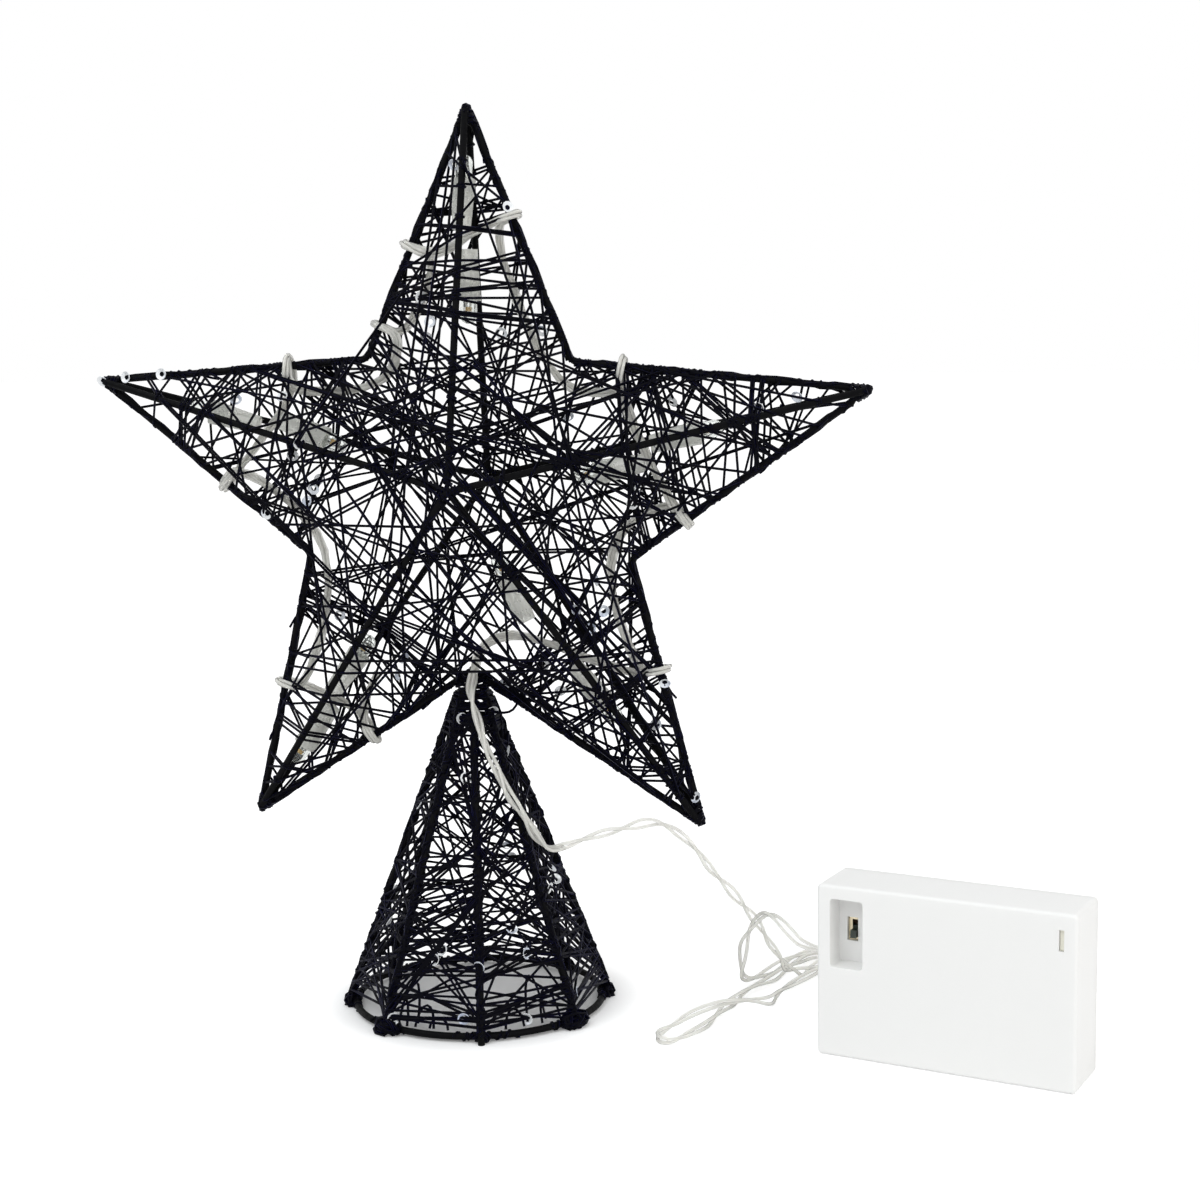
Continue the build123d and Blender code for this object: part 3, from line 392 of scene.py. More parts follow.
def wind_face(arm, side, chance):
    """The lines of thread that start on one arm, over one face of the star."""
    catches = [chance.uniform(*CATCH_SPAN) for number in range(CATCHES)]
    paths = []
    while len(paths) < ARM_LINES:
        turn = chance.choice((-1, 1))
        kind = chance.random()
        low = END_SHARE if kind < ACROSS_CHANCE + CATCH_CHANCE else MIDDLE_FROM
        drift = ACROSS_DRIFT if kind < ACROSS_CHANCE else 1.0
        share = low + (1 - END_SHARE - low) * chance.random() ** drift
        start, end = outline_wire(arm, turn, side)[:2]
        here = start.lerp(end, share)
        if kind < ACROSS_CHANCE:
            one, two = outline_wire(arm, -turn, side)[:2]
            way = one.lerp(two, share + chance.gauss(0.0, ACROSS_SLANT)) - here
        elif kind < ACROSS_CHANCE + CATCH_CHANCE:
            one, two = ridge_wire(arm, side)[:2]
            way = one.lerp(two, chance.choice(catches)) - here
        else:
            way = star_point(chance.uniform(*MIDDLE_RING), chance.uniform(0, 360)) - here
        path = face_line(arm, turn, share, way.normalized(), side, chance)
        if path is None:
            continue
        paths.append(path)
        if chance.random() < TWIN_CHANCE:
            beside = share + chance.choice((-1, 1)) * chance.uniform(*TWIN_SPREAD) * TWIN_STEP
            slant = Matrix.Rotation(math.radians(chance.uniform(-TWIN_SLANT, TWIN_SLANT)), 3, "Y")
            twin = face_line(arm, turn, beside, slant @ way.normalized(), side, chance)
            if twin and END_SHARE / 2 < beside < 1 - END_SHARE / 2:
                paths.append(twin)
    return paths


def front_point(x, z):
    """A place on the front of the star's winding, or in front of its outline."""
    apex = Vector((0, -APEX_DEPTH, STAR_HEIGHT + APEX_RISE))
    ahead, eye = Vector((0, 1, 0)), Vector((x, -1, z))
    for arm in range(ARMS):
        for notch in (arm, arm - 1):
            place = geometry.intersect_ray_tri(tips[arm], notches[notch], apex, ahead, eye)
            if place:
                return Vector((x, min(place.y, -WIRE / 2), z))
    return Vector((x, -WIRE / 2, z))


def hold_sequins(arm, side, places, chance):
    """A line of thread through each sequin that lies on one face of an arm, off its outline."""
    paths = []
    for place in places:
        bearing = math.degrees(math.atan2(place.z - STAR_HEIGHT, place.x))
        turned = [abs((bearing - arm_bearing + 180) % 360 - 180) for arm_bearing in ARM_BEARING]
        if turned.index(min(turned)) != arm or place.y * side < WIRE:
            continue
        for attempt in range(HOLD_TRIES):
            turn = chance.choice((-1, 1))
            share = chance.uniform(END_SHARE, 1 - END_SHARE)
            start, end = outline_wire(arm, turn, side)[:2]
            way = (place - start.lerp(end, share)) * Vector((1, 0, 1))
            path = face_line(arm, turn, share, way.normalized(), side, chance)
            if path:
                paths.append(path)
                break
    return paths


def tip_lashing(arm, chance):
    """Thread wound close round the four wires at the tip of an arm."""
    low, high = TIP_LASHING
    along = (star_point(0, 0) - tips[arm]).normalized()
    aside = Vector((along.z, 0, -along.x))
    half_angle = along.angle(notches[arm] - tips[arm])
    steps = TIP_TURNS * 360 // WRAP_STEP
    path = []
    for step in range(steps + 1):
        reach = low + (high - low) * step / steps + chance.uniform(-TIP_STRAY, TIP_STRAY)
        turn = math.radians(WRAP_STEP * step)
        wide = reach * math.tan(half_angle) + WIRE / 2 + THREAD * chance.uniform(*TIP_SEAT)
        deep = lap + WIRE / 2 + THREAD * chance.uniform(*TIP_SEAT)
        across = aside * wide * math.cos(turn) + Vector((0, deep * math.sin(turn), 0))
        path.append(tips[arm] + along * reach + across)
    return path


def round_point(reach, bearing, z):
    """A place at a bearing and a distance round the upright axis."""
    turn = math.radians(bearing)
    return Vector((reach * math.cos(turn), reach * math.sin(turn), z))


def knot(middle, radius, loops, chance):
    """Thread looped round and round a place where wires meet, wider along a ring than across it."""
    along = Vector((-middle.y, middle.x, 0)).normalized()
    path = []
    for loop in range(loops):
        stand = Vector([chance.gauss(0, 1) for axis in range(3)]).to_track_quat("Z", "Y").to_matrix()
        reach = radius * chance.uniform(*KNOT_SPREAD)
        for degrees in range(0, 360, WRAP_STEP):
            offset = stand @ round_point(reach, degrees, 0)
            place = middle + offset + along * offset.dot(along) * (KNOT_WIDTH - 1)
            place.z = max(place.z, THREAD / 2)
            path.append(place)
    return path


def solids_of(name):
    """The middle of each separate solid of a piece of the frame, with the way its largest face looks."""
    copy = bmesh.new()
    copy.from_mesh(nodes[name].data)
    bmesh.ops.remove_doubles(copy, verts=copy.verts, dist=0.001 * MM)
    waiting = set(copy.verts)
    solids = []
    while waiting:
        reached = [waiting.pop()]
        corners = []
        while reached:
            corner = reached.pop()
            corners.append(corner)
            for edge in corner.link_edges:
                other = edge.other_vert(corner)
                if other in waiting:
                    waiting.remove(other)
                    reached.append(other)
        low = Vector([min(c.co[i] for c in corners) for i in range(3)])
        high = Vector([max(c.co[i] for c in corners) for i in range(3)])
        faces = {face for corner in corners for face in corner.link_faces}
        largest = max(faces, key=lambda face: round(face.calc_area(), 12))
        solids.append(((low + high) / 2, largest.normal.copy()))
    copy.free()
    return sorted(solids, key=lambda solid: tuple(round(value, 6) for value in solid[0]))


def loose_end(wire, share, chance):
    """A short cut end of thread that stands off a wire."""
    turn = chance.uniform(0, 360)
    place = wrap_points(wire, share, turn, turn, WIRE / 2)[0]
    away = (place - wire[0].lerp(wire[1], share)).normalized()
    along = (wire[1] - wire[0]).normalized() * chance.choice((-1, 1))
    length = chance.uniform(*LOOSE_LENGTH)
    middle = place + (away * LOOSE_LIFT + along) * length / 2
    return [place, middle, middle + (away * chance.uniform(*LOOSE_CURL) + along) * length / 2]


def sheath(wire, low, high, chance):
    """Strands that lie along a wire and turn slowly round it, where thread runs on from line to line."""
    length = (wire[1] - wire[0]).length
    steps = max(2, round(length * (high - low) / SHEATH_STEP))
    strands = []
    for strand in range(SHEATH_STRANDS):
        first = 360 * (strand + chance.random()) / SHEATH_STRANDS
        lay = SHEATH_LAY * chance.choice((-1, 1)) * chance.uniform(*SHEATH_VARY)
        path = []
        for step in range(steps + 1):
            share = low + (high - low) * step / steps
            radius = WIRE / 2 + chance.uniform(*SHEATH_OUT)
            stray = chance.uniform(-SHEATH_STRAY, SHEATH_STRAY)
            turn = first + 360 * share * length / lay + stray
            path += wrap_points(wire, share, turn, turn, radius)[:1]
        strands.append(path)
    return strands


sequin_places = [middle for middle, facing in solids_of("sequins")]
star_caught = [front_point(x * MM, z * MM) for x, z in STAR_CAUGHT]
star_sequins = [place for place in sequin_places if place.z > NECK_HEIGHT] + star_caught
for arm, arm_name in enumerate(ARM_NAMES):
    chance = random.Random(ARM_SEED + arm)
    strands = wind_face(arm, -1, chance) + wind_face(arm, 1, chance) + [tip_lashing(arm, chance)]
    strands += hold_sequins(arm, -1, star_sequins, chance) + hold_sequins(arm, 1, star_sequins, chance)
    strands.append(knot(tips[arm].lerp(star_point(0, 0), TIP_SHARE), TIP_KNOT, TIP_LOOPS, chance))
    for number in range(LOOSE_ENDS):
        turn = (-1, 1)[number % 2]
        strands.append(loose_end(outline_wire(arm, turn, -1), chance.uniform(*LOOSE_SPAN), chance))
        strands.append(loose_end(ridge_wire(arm, turn), chance.uniform(*LOOSE_SPAN), chance))
    for turn in (-1, 1):
        strands += sheath(outline_wire(arm, turn, -1), *SHEATH_SPAN, chance)
    winding = strand_piece(f"thread_winding_{arm_name}_arm", strands, THREAD / 2, thread_finish)
    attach(winding, "star")
    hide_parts(f"thread_net_{arm_name}_arm")

# Thread on the cone: the same thread, wound round the ribs in slanting lines and spun along them,
# knotted at the ribs' feet and wound round the base ring beside each foot.
# A stray thread hangs from the star's outline to the second sequin of the cone.
FOOT_RADIUS = 39.2 * MM
RING_RADIUS = 36.4 * MM
RIB_COUNT = 8
RIB_TURN = 12.5
RING_LIFT = 0.6 * MM
CONE_SEED = 4
CONE_LINES = 170
CONE_LOW = 2.5 * MM
CONE_HIGH = 91.0 * MM
GENTLE_CHANCE = 0.6
GENTLE_RISE = 11.0 * MM
STEEP_RISE = 28.0 * MM
LINE_SPANS = (1, 2, 2, 3, 4)
LINE_LEAST = 8
END_TURN = 270
FULL_TURN_CHANCE = 0.15
RIB_CLIMB = 1.0 * MM
SPUN_SPAN = (0.02, 0.88)
SPUN_PITCH = 7.0 * MM
SPUN_VARY = (0.4, 1.7)
SPUN_SWELL = (0.96, 1.1)
RIB_SHEATH_SPAN = (0.03, 0.92)
RIB_LOOSE_SPAN = (0.1, 0.8)
KNOT_LOOPS = 16
KNOT_RADIUS = 2.5 * MM
KNOT_SHARE = (0.3, 1.25, 0.9, 0.8, 0.8, 0.8, 0.9, 1.2)
KNOT_LEAST = 0.6
FOOT_SPANS = 3
SPAN_HEIGHT = (3.0 * MM, 9.0 * MM)
SPAN_RISE = (-0.3 * MM, 6.0 * MM)
FOOT_LINES = 6
FOOT_HEIGHT = (3.0 * MM, 7.0 * MM)
FOOT_RISE = (4.0 * MM, 38.0 * MM)
FOOT_LINE_SPANS = (1, 1, 2)
RING_WRAPS = 6
RING_SPREAD = 12.0
RING_VARY = (0.2, 1.8)
RING_SEAT = (-0.1, 0.3)
HELD_RISE = 9.0 * MM
HELD_ROOM = 0.9
HELD_SLANTS = ((0.2, 1.0), (-1.0, -0.2))
LOOSE_WIDTH = 4.5
LOOSE_STEPS = 8
LOOSE_OUT = 0.6
STRAY_FROM = 0.8
STRAY_TO = 1
STRAY_SAG = Vector((1.6, -0.8, -1.6)) * MM
STRAY_STEPS = 6
# Sequins caught on the cone: bearing round it, and how high.
CONE_CAUGHT = (
    (-104.0, 86.6), (-27.4, 88.1), (-15.4, 76.3), (-88.7, 70.5), (-157.5, 60.8), (-20.2, 37.2),
    (-77.8, 20.4), (-25.1, 8.7), (-85.2, 6.5), (-118.7, 4.7), (-56.3, 4.9),
)
# Loops of thread that stand loose above the base ring: bearing, and how high their ends and their top are.
LOOSE_LOOPS = (
    (-112.0, 4.0, 15.0), (-51.0, 4.0, 16.0), (-117.0, 3.0, 11.0), (-104.0, 3.0, 9.0),
    (-62.0, 3.0, 8.0), (-44.0, 3.0, 12.0), (-97.0, 3.0, 6.0),
)
clasp_radius = lap / math.cos(math.radians(RIB_TURN))
rib_slope = (FOOT_RADIUS - clasp_radius) / NECK_HEIGHT


def rib_point(bearing, z, out=0.0):
    """The middle of the rib at a bearing round the cone, or a place outside it, at a height."""
    return round_point(clasp_radius + (NECK_HEIGHT - z) * rib_slope + out, bearing, z)


def rib_bearing(number):
    """Where round the cone a rib stands."""
    return RIB_TURN - 90 + 360 * number / RIB_COUNT


def rib_wire(number):
    """Foot, head and two square directions of a rib, in the manner of the star's wires."""
    start, end = [rib_point(rib_bearing(number), z) for z in (0.0, NECK_HEIGHT)]
    return straight_wire(start, end, Vector((start.x, start.y, 0)).normalized())


def cone_line(number, height, way, rise, spans, chance):
    """A thread that starts round one rib and goes over the next ones, rising or falling at each."""
    path = []
    for span in range(spans + 1):
        wire = rib_wire((number + way * span) % RIB_COUNT)
        share = (height + rise * span) / NECK_HEIGHT
        if not CONE_LOW < share * NECK_HEIGHT < CONE_HIGH:
            break
        seat = WIRE / 2 + THREAD * chance.uniform(*WRAP_SEAT)
        over = END_TURN if span in (0, spans) else 0
        if chance.random() < FULL_TURN_CHANCE:
            over = 360
        turned = wrap_points(wire, share, 0, -over * way, seat, chance.uniform(-RIB_CLIMB, RIB_CLIMB))
        path += turned[::-1] if span == 0 else turned
    return path


def spun_along(wire, chance):
    """A thread spun along a rib, unevenly."""
    length = (wire[1] - wire[0]).length
    radius = WIRE / 2 + SHEATH_OUT[1]
    share, high = SPUN_SPAN
    path = []
    while share < high:
        step = SPUN_PITCH * chance.uniform(*SPUN_VARY)
        path += wrap_points(wire, share, 0, 360, radius * chance.uniform(*SPUN_SWELL), step)[:-1]
        share += step / length
    return path


def ring_winding(number, chance):
    """Thread wound round the base ring on both sides of a rib's foot."""
    bearing = rib_bearing(number) - RING_SPREAD
    path = []
    for wrap in range(RING_WRAPS):
        step = chance.uniform(*RING_VARY) * 2 * RING_SPREAD / RING_WRAPS
        out = WIRE / 2 + THREAD * chance.uniform(*RING_SEAT)
        for turn in range(0, 360, WRAP_STEP):
            reach = RING_RADIUS + out * math.cos(math.radians(turn))
            height = max(THREAD / 2, RING_LIFT + WIRE / 2 + out * math.sin(math.radians(turn)))
            path.append(round_point(reach, bearing + step * turn / 360, height))
        bearing += step
    return path


def facet_point(bearing, z, out=0.0):
    """A place on the flat facet between two ribs, or outside it."""
    from_rib = (bearing - rib_bearing(0)) % (360 / RIB_COUNT)
    half = math.radians(180 / RIB_COUNT)
    flat = math.cos(half) / math.cos(math.radians(from_rib) - half)
    return round_point((clasp_radius + (NECK_HEIGHT - z) * rib_slope) * flat + out, bearing, z)


def add_line(strands, line):
    """Keeps a line of the cone that holds on to two ribs or more."""
    if len(line) > LINE_LEAST:
        strands.append(line)


chance = random.Random(CONE_SEED)
cone_strands = []
while len(cone_strands) < CONE_LINES:
    rise = chance.gauss(0.0, GENTLE_RISE if chance.random() < GENTLE_CHANCE else STEEP_RISE)
    height = CONE_LOW + (CONE_HIGH - CONE_LOW) * chance.random()
    number, way = chance.randrange(RIB_COUNT), chance.choice((-1, 1))
    add_line(cone_strands, cone_line(number, height, way, rise, chance.choice(LINE_SPANS), chance))
for number in range(RIB_COUNT):
    wire = rib_wire(number)
    cone_strands.append(spun_along(wire, chance))
    cone_strands += sheath(wire, *RIB_SHEATH_SPAN, chance)
    foot = rib_point(rib_bearing(number), RING_LIFT + WIRE / 2, -WIRE / 2)
    size = KNOT_SHARE[number]
    cone_strands.append(knot(foot, KNOT_RADIUS * max(size, KNOT_LEAST), round(KNOT_LOOPS * size), chance))
    for span_number in range(FOOT_SPANS):
        height, rise = chance.uniform(*SPAN_HEIGHT), chance.uniform(*SPAN_RISE)
        add_line(cone_strands, cone_line(number, height, 1, rise, 1, chance))
    for end_number in range(LOOSE_ENDS // 2):
        cone_strands.append(loose_end(wire, chance.uniform(*RIB_LOOSE_SPAN), chance))
    for line_number in range(FOOT_LINES):
        rise = chance.uniform(*FOOT_RISE)
        way, spans = chance.choice((-1, 1)), chance.choice(FOOT_LINE_SPANS)
        height = chance.uniform(*FOOT_HEIGHT)
        add_line(cone_strands, cone_line(number, height, way, rise / spans, spans, chance))
    cone_strands.append(ring_winding(number, chance))
cone_caught = [facet_point(bearing, z * MM) for bearing, z in CONE_CAUGHT]
for place in cone_caught + [place for place in sequin_places if place.z < NECK_HEIGHT]:
    from_rib = (math.degrees(math.atan2(place.y, place.x)) - rib_bearing(0)) % 360
    number = int(from_rib // (360 / RIB_COUNT))
    half = math.radians(180 / RIB_COUNT)
    crossed = 0.5 + math.tan(math.radians(from_rib) - (2 * number + 1) * half) / (2 * math.tan(half))
    room = min(HELD_RISE, HELD_ROOM * (place.z - CONE_LOW), CONE_HIGH - place.z)
    for rise in [chance.uniform(*slant) * room for slant in HELD_SLANTS]:
        add_line(cone_strands, cone_line(number, place.z - rise * crossed, 1, rise, 1, chance))
for bearing, low, high in LOOSE_LOOPS:
    loop_path = []
    for step in range(LOOSE_STEPS + 1):
        turn = math.radians(180 * step / LOOSE_STEPS)
        z = low * MM + (high - low) * MM * math.sin(turn)
        loop_path.append(facet_point(bearing - LOOSE_WIDTH * math.cos(turn), z, THREAD * LOOSE_OUT))
    cone_strands.append(loop_path)
stray_start, stray_end = tips[2].lerp(notches[2], STRAY_FROM), cone_caught[STRAY_TO]
stray_path = []
for step in range(STRAY_STEPS + 1):
    sag = STRAY_SAG * math.sin(math.pi * step / STRAY_STEPS)
    stray_path.append(stray_start.lerp(stray_end, step / STRAY_STEPS) + sag)
cone_strands.append(stray_path)
cone_winding = strand_piece("thread_winding_cone", cone_strands, THREAD / 2, thread_finish)
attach(cone_winding, "star")
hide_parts("thread_net_cone")

# Binding at the neck: the same thread, wound tight over the rib ends, up and down several times.
# It ties the cone to the star's lower notch.
BINDING_LOW = 82.0 * MM
BINDING_HIGH = 98.5 * MM
BINDING_PITCH = 3.4 * MM
BINDING_PASSES = 5
BINDING_OUT = 0.72 * MM
BINDING_STEP = 0.06 * MM
BINDING_STRAY = 0.7 * MM
BINDING_SWELL = 0.15 * MM
BINDING_SEED = 50
chance = random.Random(BINDING_SEED)
binding_path = []
steps = int((BINDING_HIGH - BINDING_LOW) / BINDING_PITCH * RIB_COUNT)
for turn_number in range(steps * BINDING_PASSES):
    climbed = turn_number % steps / steps
    passed = turn_number // steps
    share = climbed if passed % 2 == 0 else 1 - climbed
    z = BINDING_LOW + (BINDING_HIGH - BINDING_LOW) * share + chance.uniform(-BINDING_STRAY, BINDING_STRAY)
    out = BINDING_OUT + BINDING_STEP * passed + chance.uniform(-BINDING_SWELL, BINDING_SWELL)
    binding_path.append(rib_point(rib_bearing(turn_number), min(max(z, BINDING_LOW), BINDING_HIGH), out))
binding = strand_piece("neck_binding_thread", [binding_path], THREAD / 2, thread_finish)
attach(binding, "star")
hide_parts("neck_binding")

# Sequins: small cupped rings punched from pearly film, caught in the winding as it was wound.
# They lie where the frame has its sequins and at the caught places, each tipped its own way.
SEQUIN = 3.4 * MM
SEQUIN_FILM = 0.12 * MM
SEQUIN_CUP = 0.3 * MM
SEQUIN_STEPS = (0.72, 0.62)
SEQUIN_TIP = 38.0
SEQUIN_SEED = 9
SEQUIN_WHITE = (0.86, 0.88, 0.9, 1.0)
SEQUIN_BLUE = (0.62, 0.7, 0.9, 1.0)
SHIMMER_SPAN = (0.5, 0.75)
PEARLY = {"Metallic": 0.1, "Coat Weight": 0.6}


def mix_colours(finish, value, start, end, first, second):
    """Colours a finish from one colour to another, as a value goes from start to end."""
    tree = finish.node_tree
    spread = add_node(tree, "MapRange", {"From Min": start, "From Max": end})
    colours = add_node(tree, "Mix")
    colours.data_type = "RGBA"
    set_values(colours, {"A": first, "B": second})
    tree.links.new(value, spread.inputs["Value"])
    link(
        tree,
        (spread, "Result", colours, "Factor"),
        (colours, "Result", tree.nodes["Principled BSDF"], "Base Color"),
    )


sequin_finish = new_finish("pearly_film", 300.0, (0.12, 0.3), 0.02 * MM, values=PEARLY)
sequin_tree = sequin_finish.node_tree
shimmer = add_node(sequin_tree, "TexNoise", {"Scale": 90.0})
link(sequin_tree, (add_node(sequin_tree, "TexCoord"), "Object", shimmer, "Vector"))
mix_colours(sequin_finish, shimmer.outputs["Fac"], *SHIMMER_SPAN, SEQUIN_WHITE, SEQUIN_BLUE)

bpy.ops.object.select_all(action="DESELECT")
bpy.ops.mesh.primitive_circle_add(vertices=12, radius=SEQUIN / 2, fill_type="NOTHING")
sequin = bpy.context.object
bpy.ops.object.mode_set(mode="EDIT")
bpy.ops.mesh.select_all(action="SELECT")
for shrink in SEQUIN_STEPS:
    bpy.ops.mesh.extrude_edges_move(TRANSFORM_OT_translate={"value": (0, 0, -SEQUIN_CUP)})
    bpy.ops.transform.resize(value=(shrink, shrink, 1.0))
bpy.ops.object.mode_set(mode="OBJECT")
film = sequin.modifiers.new("film", "SOLIDIFY")
film.thickness = SEQUIN_FILM
bpy.ops.object.modifier_apply(modifier=film.name)
chance = random.Random(SEQUIN_SEED)
rings = []
caught_ways = [(place, Vector((place.x, place.y, 0)).normalized()) for place in cone_caught]
caught_ways += [(place, Vector((0, -1, 0))) for place in star_caught]
for middle, facing in solids_of("sequins") + caught_ways:
    ring = sequin.copy()
    ring.data = sequin.data.copy()
    bpy.context.collection.objects.link(ring)
    if facing.dot(middle - Vector((0, 0, middle.z))) < 0:
        facing = -facing
    tip = Matrix.Rotation(math.radians(chance.uniform(-SEQUIN_TIP, SEQUIN_TIP)), 4, "X")
    lean = Matrix.Rotation(math.radians(chance.uniform(-SEQUIN_TIP, SEQUIN_TIP)), 4, "Y")
    stand = facing.to_track_quat("Z", "Y").to_matrix().to_4x4()
    ring.data.transform(Matrix.Translation(middle + facing * (SEQUIN_CUP + THREAD)) @ stand @ tip @ lean)
    rings.append(ring)
bpy.data.objects.remove(sequin)
select_only(rings)
bpy.ops.object.join()
sequin_rings = bpy.context.object
sequin_rings.name = "sequin_rings"
sequin_rings.data.materials.append(sequin_finish)
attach(sequin_rings, "star")
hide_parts("sequins")

# String of lights: clear plastic wires with a tinned core, twisted together, laced through the star
# and hooked over its outline so that they can't slip.
BUNDLE = 2.6 * MM
HOOK_GAP = 0.35 * MM
HOOK_INSIDE = 8.0 * MM
HOOK_SNUG = 0.6 * MM
HOOK_SHARE_CLOCKWISE = {0: 0.425, 1: 0.765, 3: 0.496, 4: 0.706}
HOOK_SHARE_COUNTER = {0: 0.55, 1: 0.827, 2: 0.584, 3: 0.54, 4: 0.59}
HOOK_SHARE_EXTRA = 0.865
NOTCH_PASS = 10.0 * MM
STRING_TAIL = 14.0 * MM
ENTRY_FRONT = Vector((1.6, -7.4, 99.8)) * MM
ENTRY_INSIDE = Vector((3.0, -1.4, 116.0)) * MM
STRING_WIRES = 5
STRING_WIRE = 1.05 * MM
STRING_LAY = 46.0 * MM
WANDER_LAYS = 1.7
CORE = 0.24 * MM
CLEAR = (0.96, 0.955, 0.92, 1.0)
# Towards their edges, where they turn from the eye, the clear wires darken to a near-black rim: a painted
# dark edge that stands in for the shade refraction gives them.
CLEAR_PAINTED_DARK_RIM = (0.05, 0.048, 0.04, 1.0)
PAINTED_RIM_FROM = 0.56
CLEAR_BODY = {"Transmission Weight": 0.6, "IOR": 1.15}
TINNED = (0.74, 0.73, 0.7, 1.0)
BARE_METAL = {"Metallic": 1.0}
hook_out = WIRE / 2 + BUNDLE / 2 + HOOK_GAP


def edge_place(arm, turn, share):
    """A place on a side of the outline, with the way into the arm from there."""
    start, end, facing, out = outline_wire(arm, turn, 1)
    return start.lerp(end, share), -out


def hook(place, inward, enter):
    """Four corners of a turn round the outline, entering in front (-1) or behind (1)."""
    near = Vector((0, enter * hook_out, 0))
    inside = place + inward * HOOK_INSIDE
    outside = place - inward * (hook_out - HOOK_SNUG)
    return [inside + near, outside + near, outside - near, inside - near]


def arm_hooks(arm, enter):
    """The two hooks of an arm, with the run across the arm between them."""
    first = edge_place(arm, 1, HOOK_SHARE_CLOCKWISE[arm])
    second = edge_place(arm, -1, HOOK_SHARE_COUNTER[arm])
    return hook(*first, enter) + hook(*second, -enter)


def notch_pass(notch, side):
    """The point where the string passes inside a notch on its way to the next arm."""
    return star_point(NOTCH_RADIUS - NOTCH_PASS, notch_bearing[notch], side * hook_out)


lower_left_arm = arm_hooks(3, -1)
string_end = (star_point(0, 0, -hook_out) - lower_left_arm[-1]).normalized() * STRING_TAIL
string_points = [ENTRY_FRONT, ENTRY_INSIDE]
string_points += hook(*edge_place(2, -1, HOOK_SHARE_COUNTER[2]), -1) + [notch_pass(1, 1)]
string_points += arm_hooks(1, 1) + [notch_pass(0, 1)] + arm_hooks(0, 1)
string_points += hook(*edge_place(0, -1, HOOK_SHARE_EXTRA), 1) + [notch_pass(4, -1)]
string_points += arm_hooks(4, -1) + [notch_pass(3, -1)] + lower_left_arm
string_points += [lower_left_arm[-1] + string_end]


def route_line(points, steps):
    """Places along the smooth line that has a route's points as its control points."""
    carrier = new_curve("route", "NURBS", [points])
    curve = carrier.data
    curve.splines[0].order_u = 3
    curve.splines[0].use_endpoint_u = True
    curve.splines[0].resolution_u = steps
    line = bpy.data.meshes.new_from_object(carrier)
    places = [corner.co.copy() for corner in line.vertices]
    bpy.data.objects.remove(carrier)
    bpy.data.curves.remove(curve)
    bpy.data.meshes.remove(line)
    return places


def twisted_wires(line, count, out, lay, wander=0.0, turned=0.0, slack_from=None, slack=1.0):
    """Wires twisted round a line, as one path each; past a place on it their lay grows slack."""
    way = (line[1] - line[0]).normalized()
    side = way.orthogonal().normalized()
    wires = [[] for number in range(count)]
    run, turn = 0.0, turned
    for index, place in enumerate(line):
        ahead = line[min(index + 1, len(line) - 1)] - line[max(index - 1, 0)]
        way = ahead.normalized()
        side = (side - way * side.dot(way)).normalized()
        other = way.cross(side)
        if index:
            step = (place - line[index - 1]).length
            run += step
            turn += 2 * math.pi * step / (lay * slack if slack_from and run > slack_from else lay)
        for number, wire in enumerate(wires):
            here = turn + 2 * math.pi * number / count
            swing = math.sin(2 * math.pi * run / (WANDER_LAYS * lay) + 2 * number)
            reach = out * (1 + wander * swing)
            wire.append(place + (side * math.cos(here) + other * math.sin(here)) * reach)
    return wires


clear_finish = new_finish("clear_plastic", 400.0, (0.3, 0.45), 0.02 * MM, values=CLEAR_BODY)
# Painted dark rim: the facing value darkens the clear wires towards their edges.
painted_rim_facing = add_node(clear_finish.node_tree, "LayerWeight", {"Blend": 0.5})
mix_colours(clear_finish, painted_rim_facing.outputs["Facing"], PAINTED_RIM_FROM, 1.0, CLEAR, CLEAR_PAINTED_DARK_RIM)
core_finish = new_finish("tinned_core", 1500.0, (0.25, 0.45), 0.05 * MM, TINNED, BARE_METAL)


def clear_wires(name, paths):
    """Clear insulated wires along the given paths, one mesh with a tinned core inside each."""
    jackets = strand_piece(name, paths, STRING_WIRE / 2, clear_finish, sides=2)
    cores = strand_piece(f"{name}_core", paths, CORE / 2, core_finish, sides=0)
    select_only([jackets, cores])
    bpy.ops.object.join()
    return jackets


string_line = route_line(string_points, steps=6)
string_out = (BUNDLE - STRING_WIRE) / 2
string_wires = twisted_wires(string_line, STRING_WIRES, string_out, STRING_LAY, wander=0.5)
light_wires = clear_wires("light_string_wires", string_wires)
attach(light_wires, "star")
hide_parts("light_string")

# Lights: a clear lens with a yellow chip in its cup, pushed into a clear moulded sleeve.
# Two thin legs run from each chip back through the sleeve to the string.
LENS_CLEAR = (0.9, 0.93, 0.9, 1.0)
LENS_BODY = {"Transmission Weight": 0.9, "IOR": 1.35}
SLEEVE_CLEAR = (0.9, 0.905, 0.86, 1.0)
SLEEVE_BODY = {"Transmission Weight": 0.4, "IOR": 1.2}
CHIP_YELLOW = (0.75, 0.42, 0.06, 1.0)
LEG = 0.5 * MM
LEG_SPREAD = 0.8 * MM
LEG_PINCH = 0.4
LEG_BEND = 4.0 * MM
LEG_REACH = 15.0 * MM
dress(["light_lenses"], new_finish("clear_lens", 250.0, (0.05, 0.12), 0.02 * MM, LENS_CLEAR, LENS_BODY))
dress(["light_sleeves"], new_finish("clear_sleeve", 350.0, (0.2, 0.4), 0.05 * MM, SLEEVE_CLEAR, SLEEVE_BODY))
dress(["light_chips"], new_finish("yellow_chip", 1500.0, (0.3, 0.5), 0.03 * MM, CHIP_YELLOW))

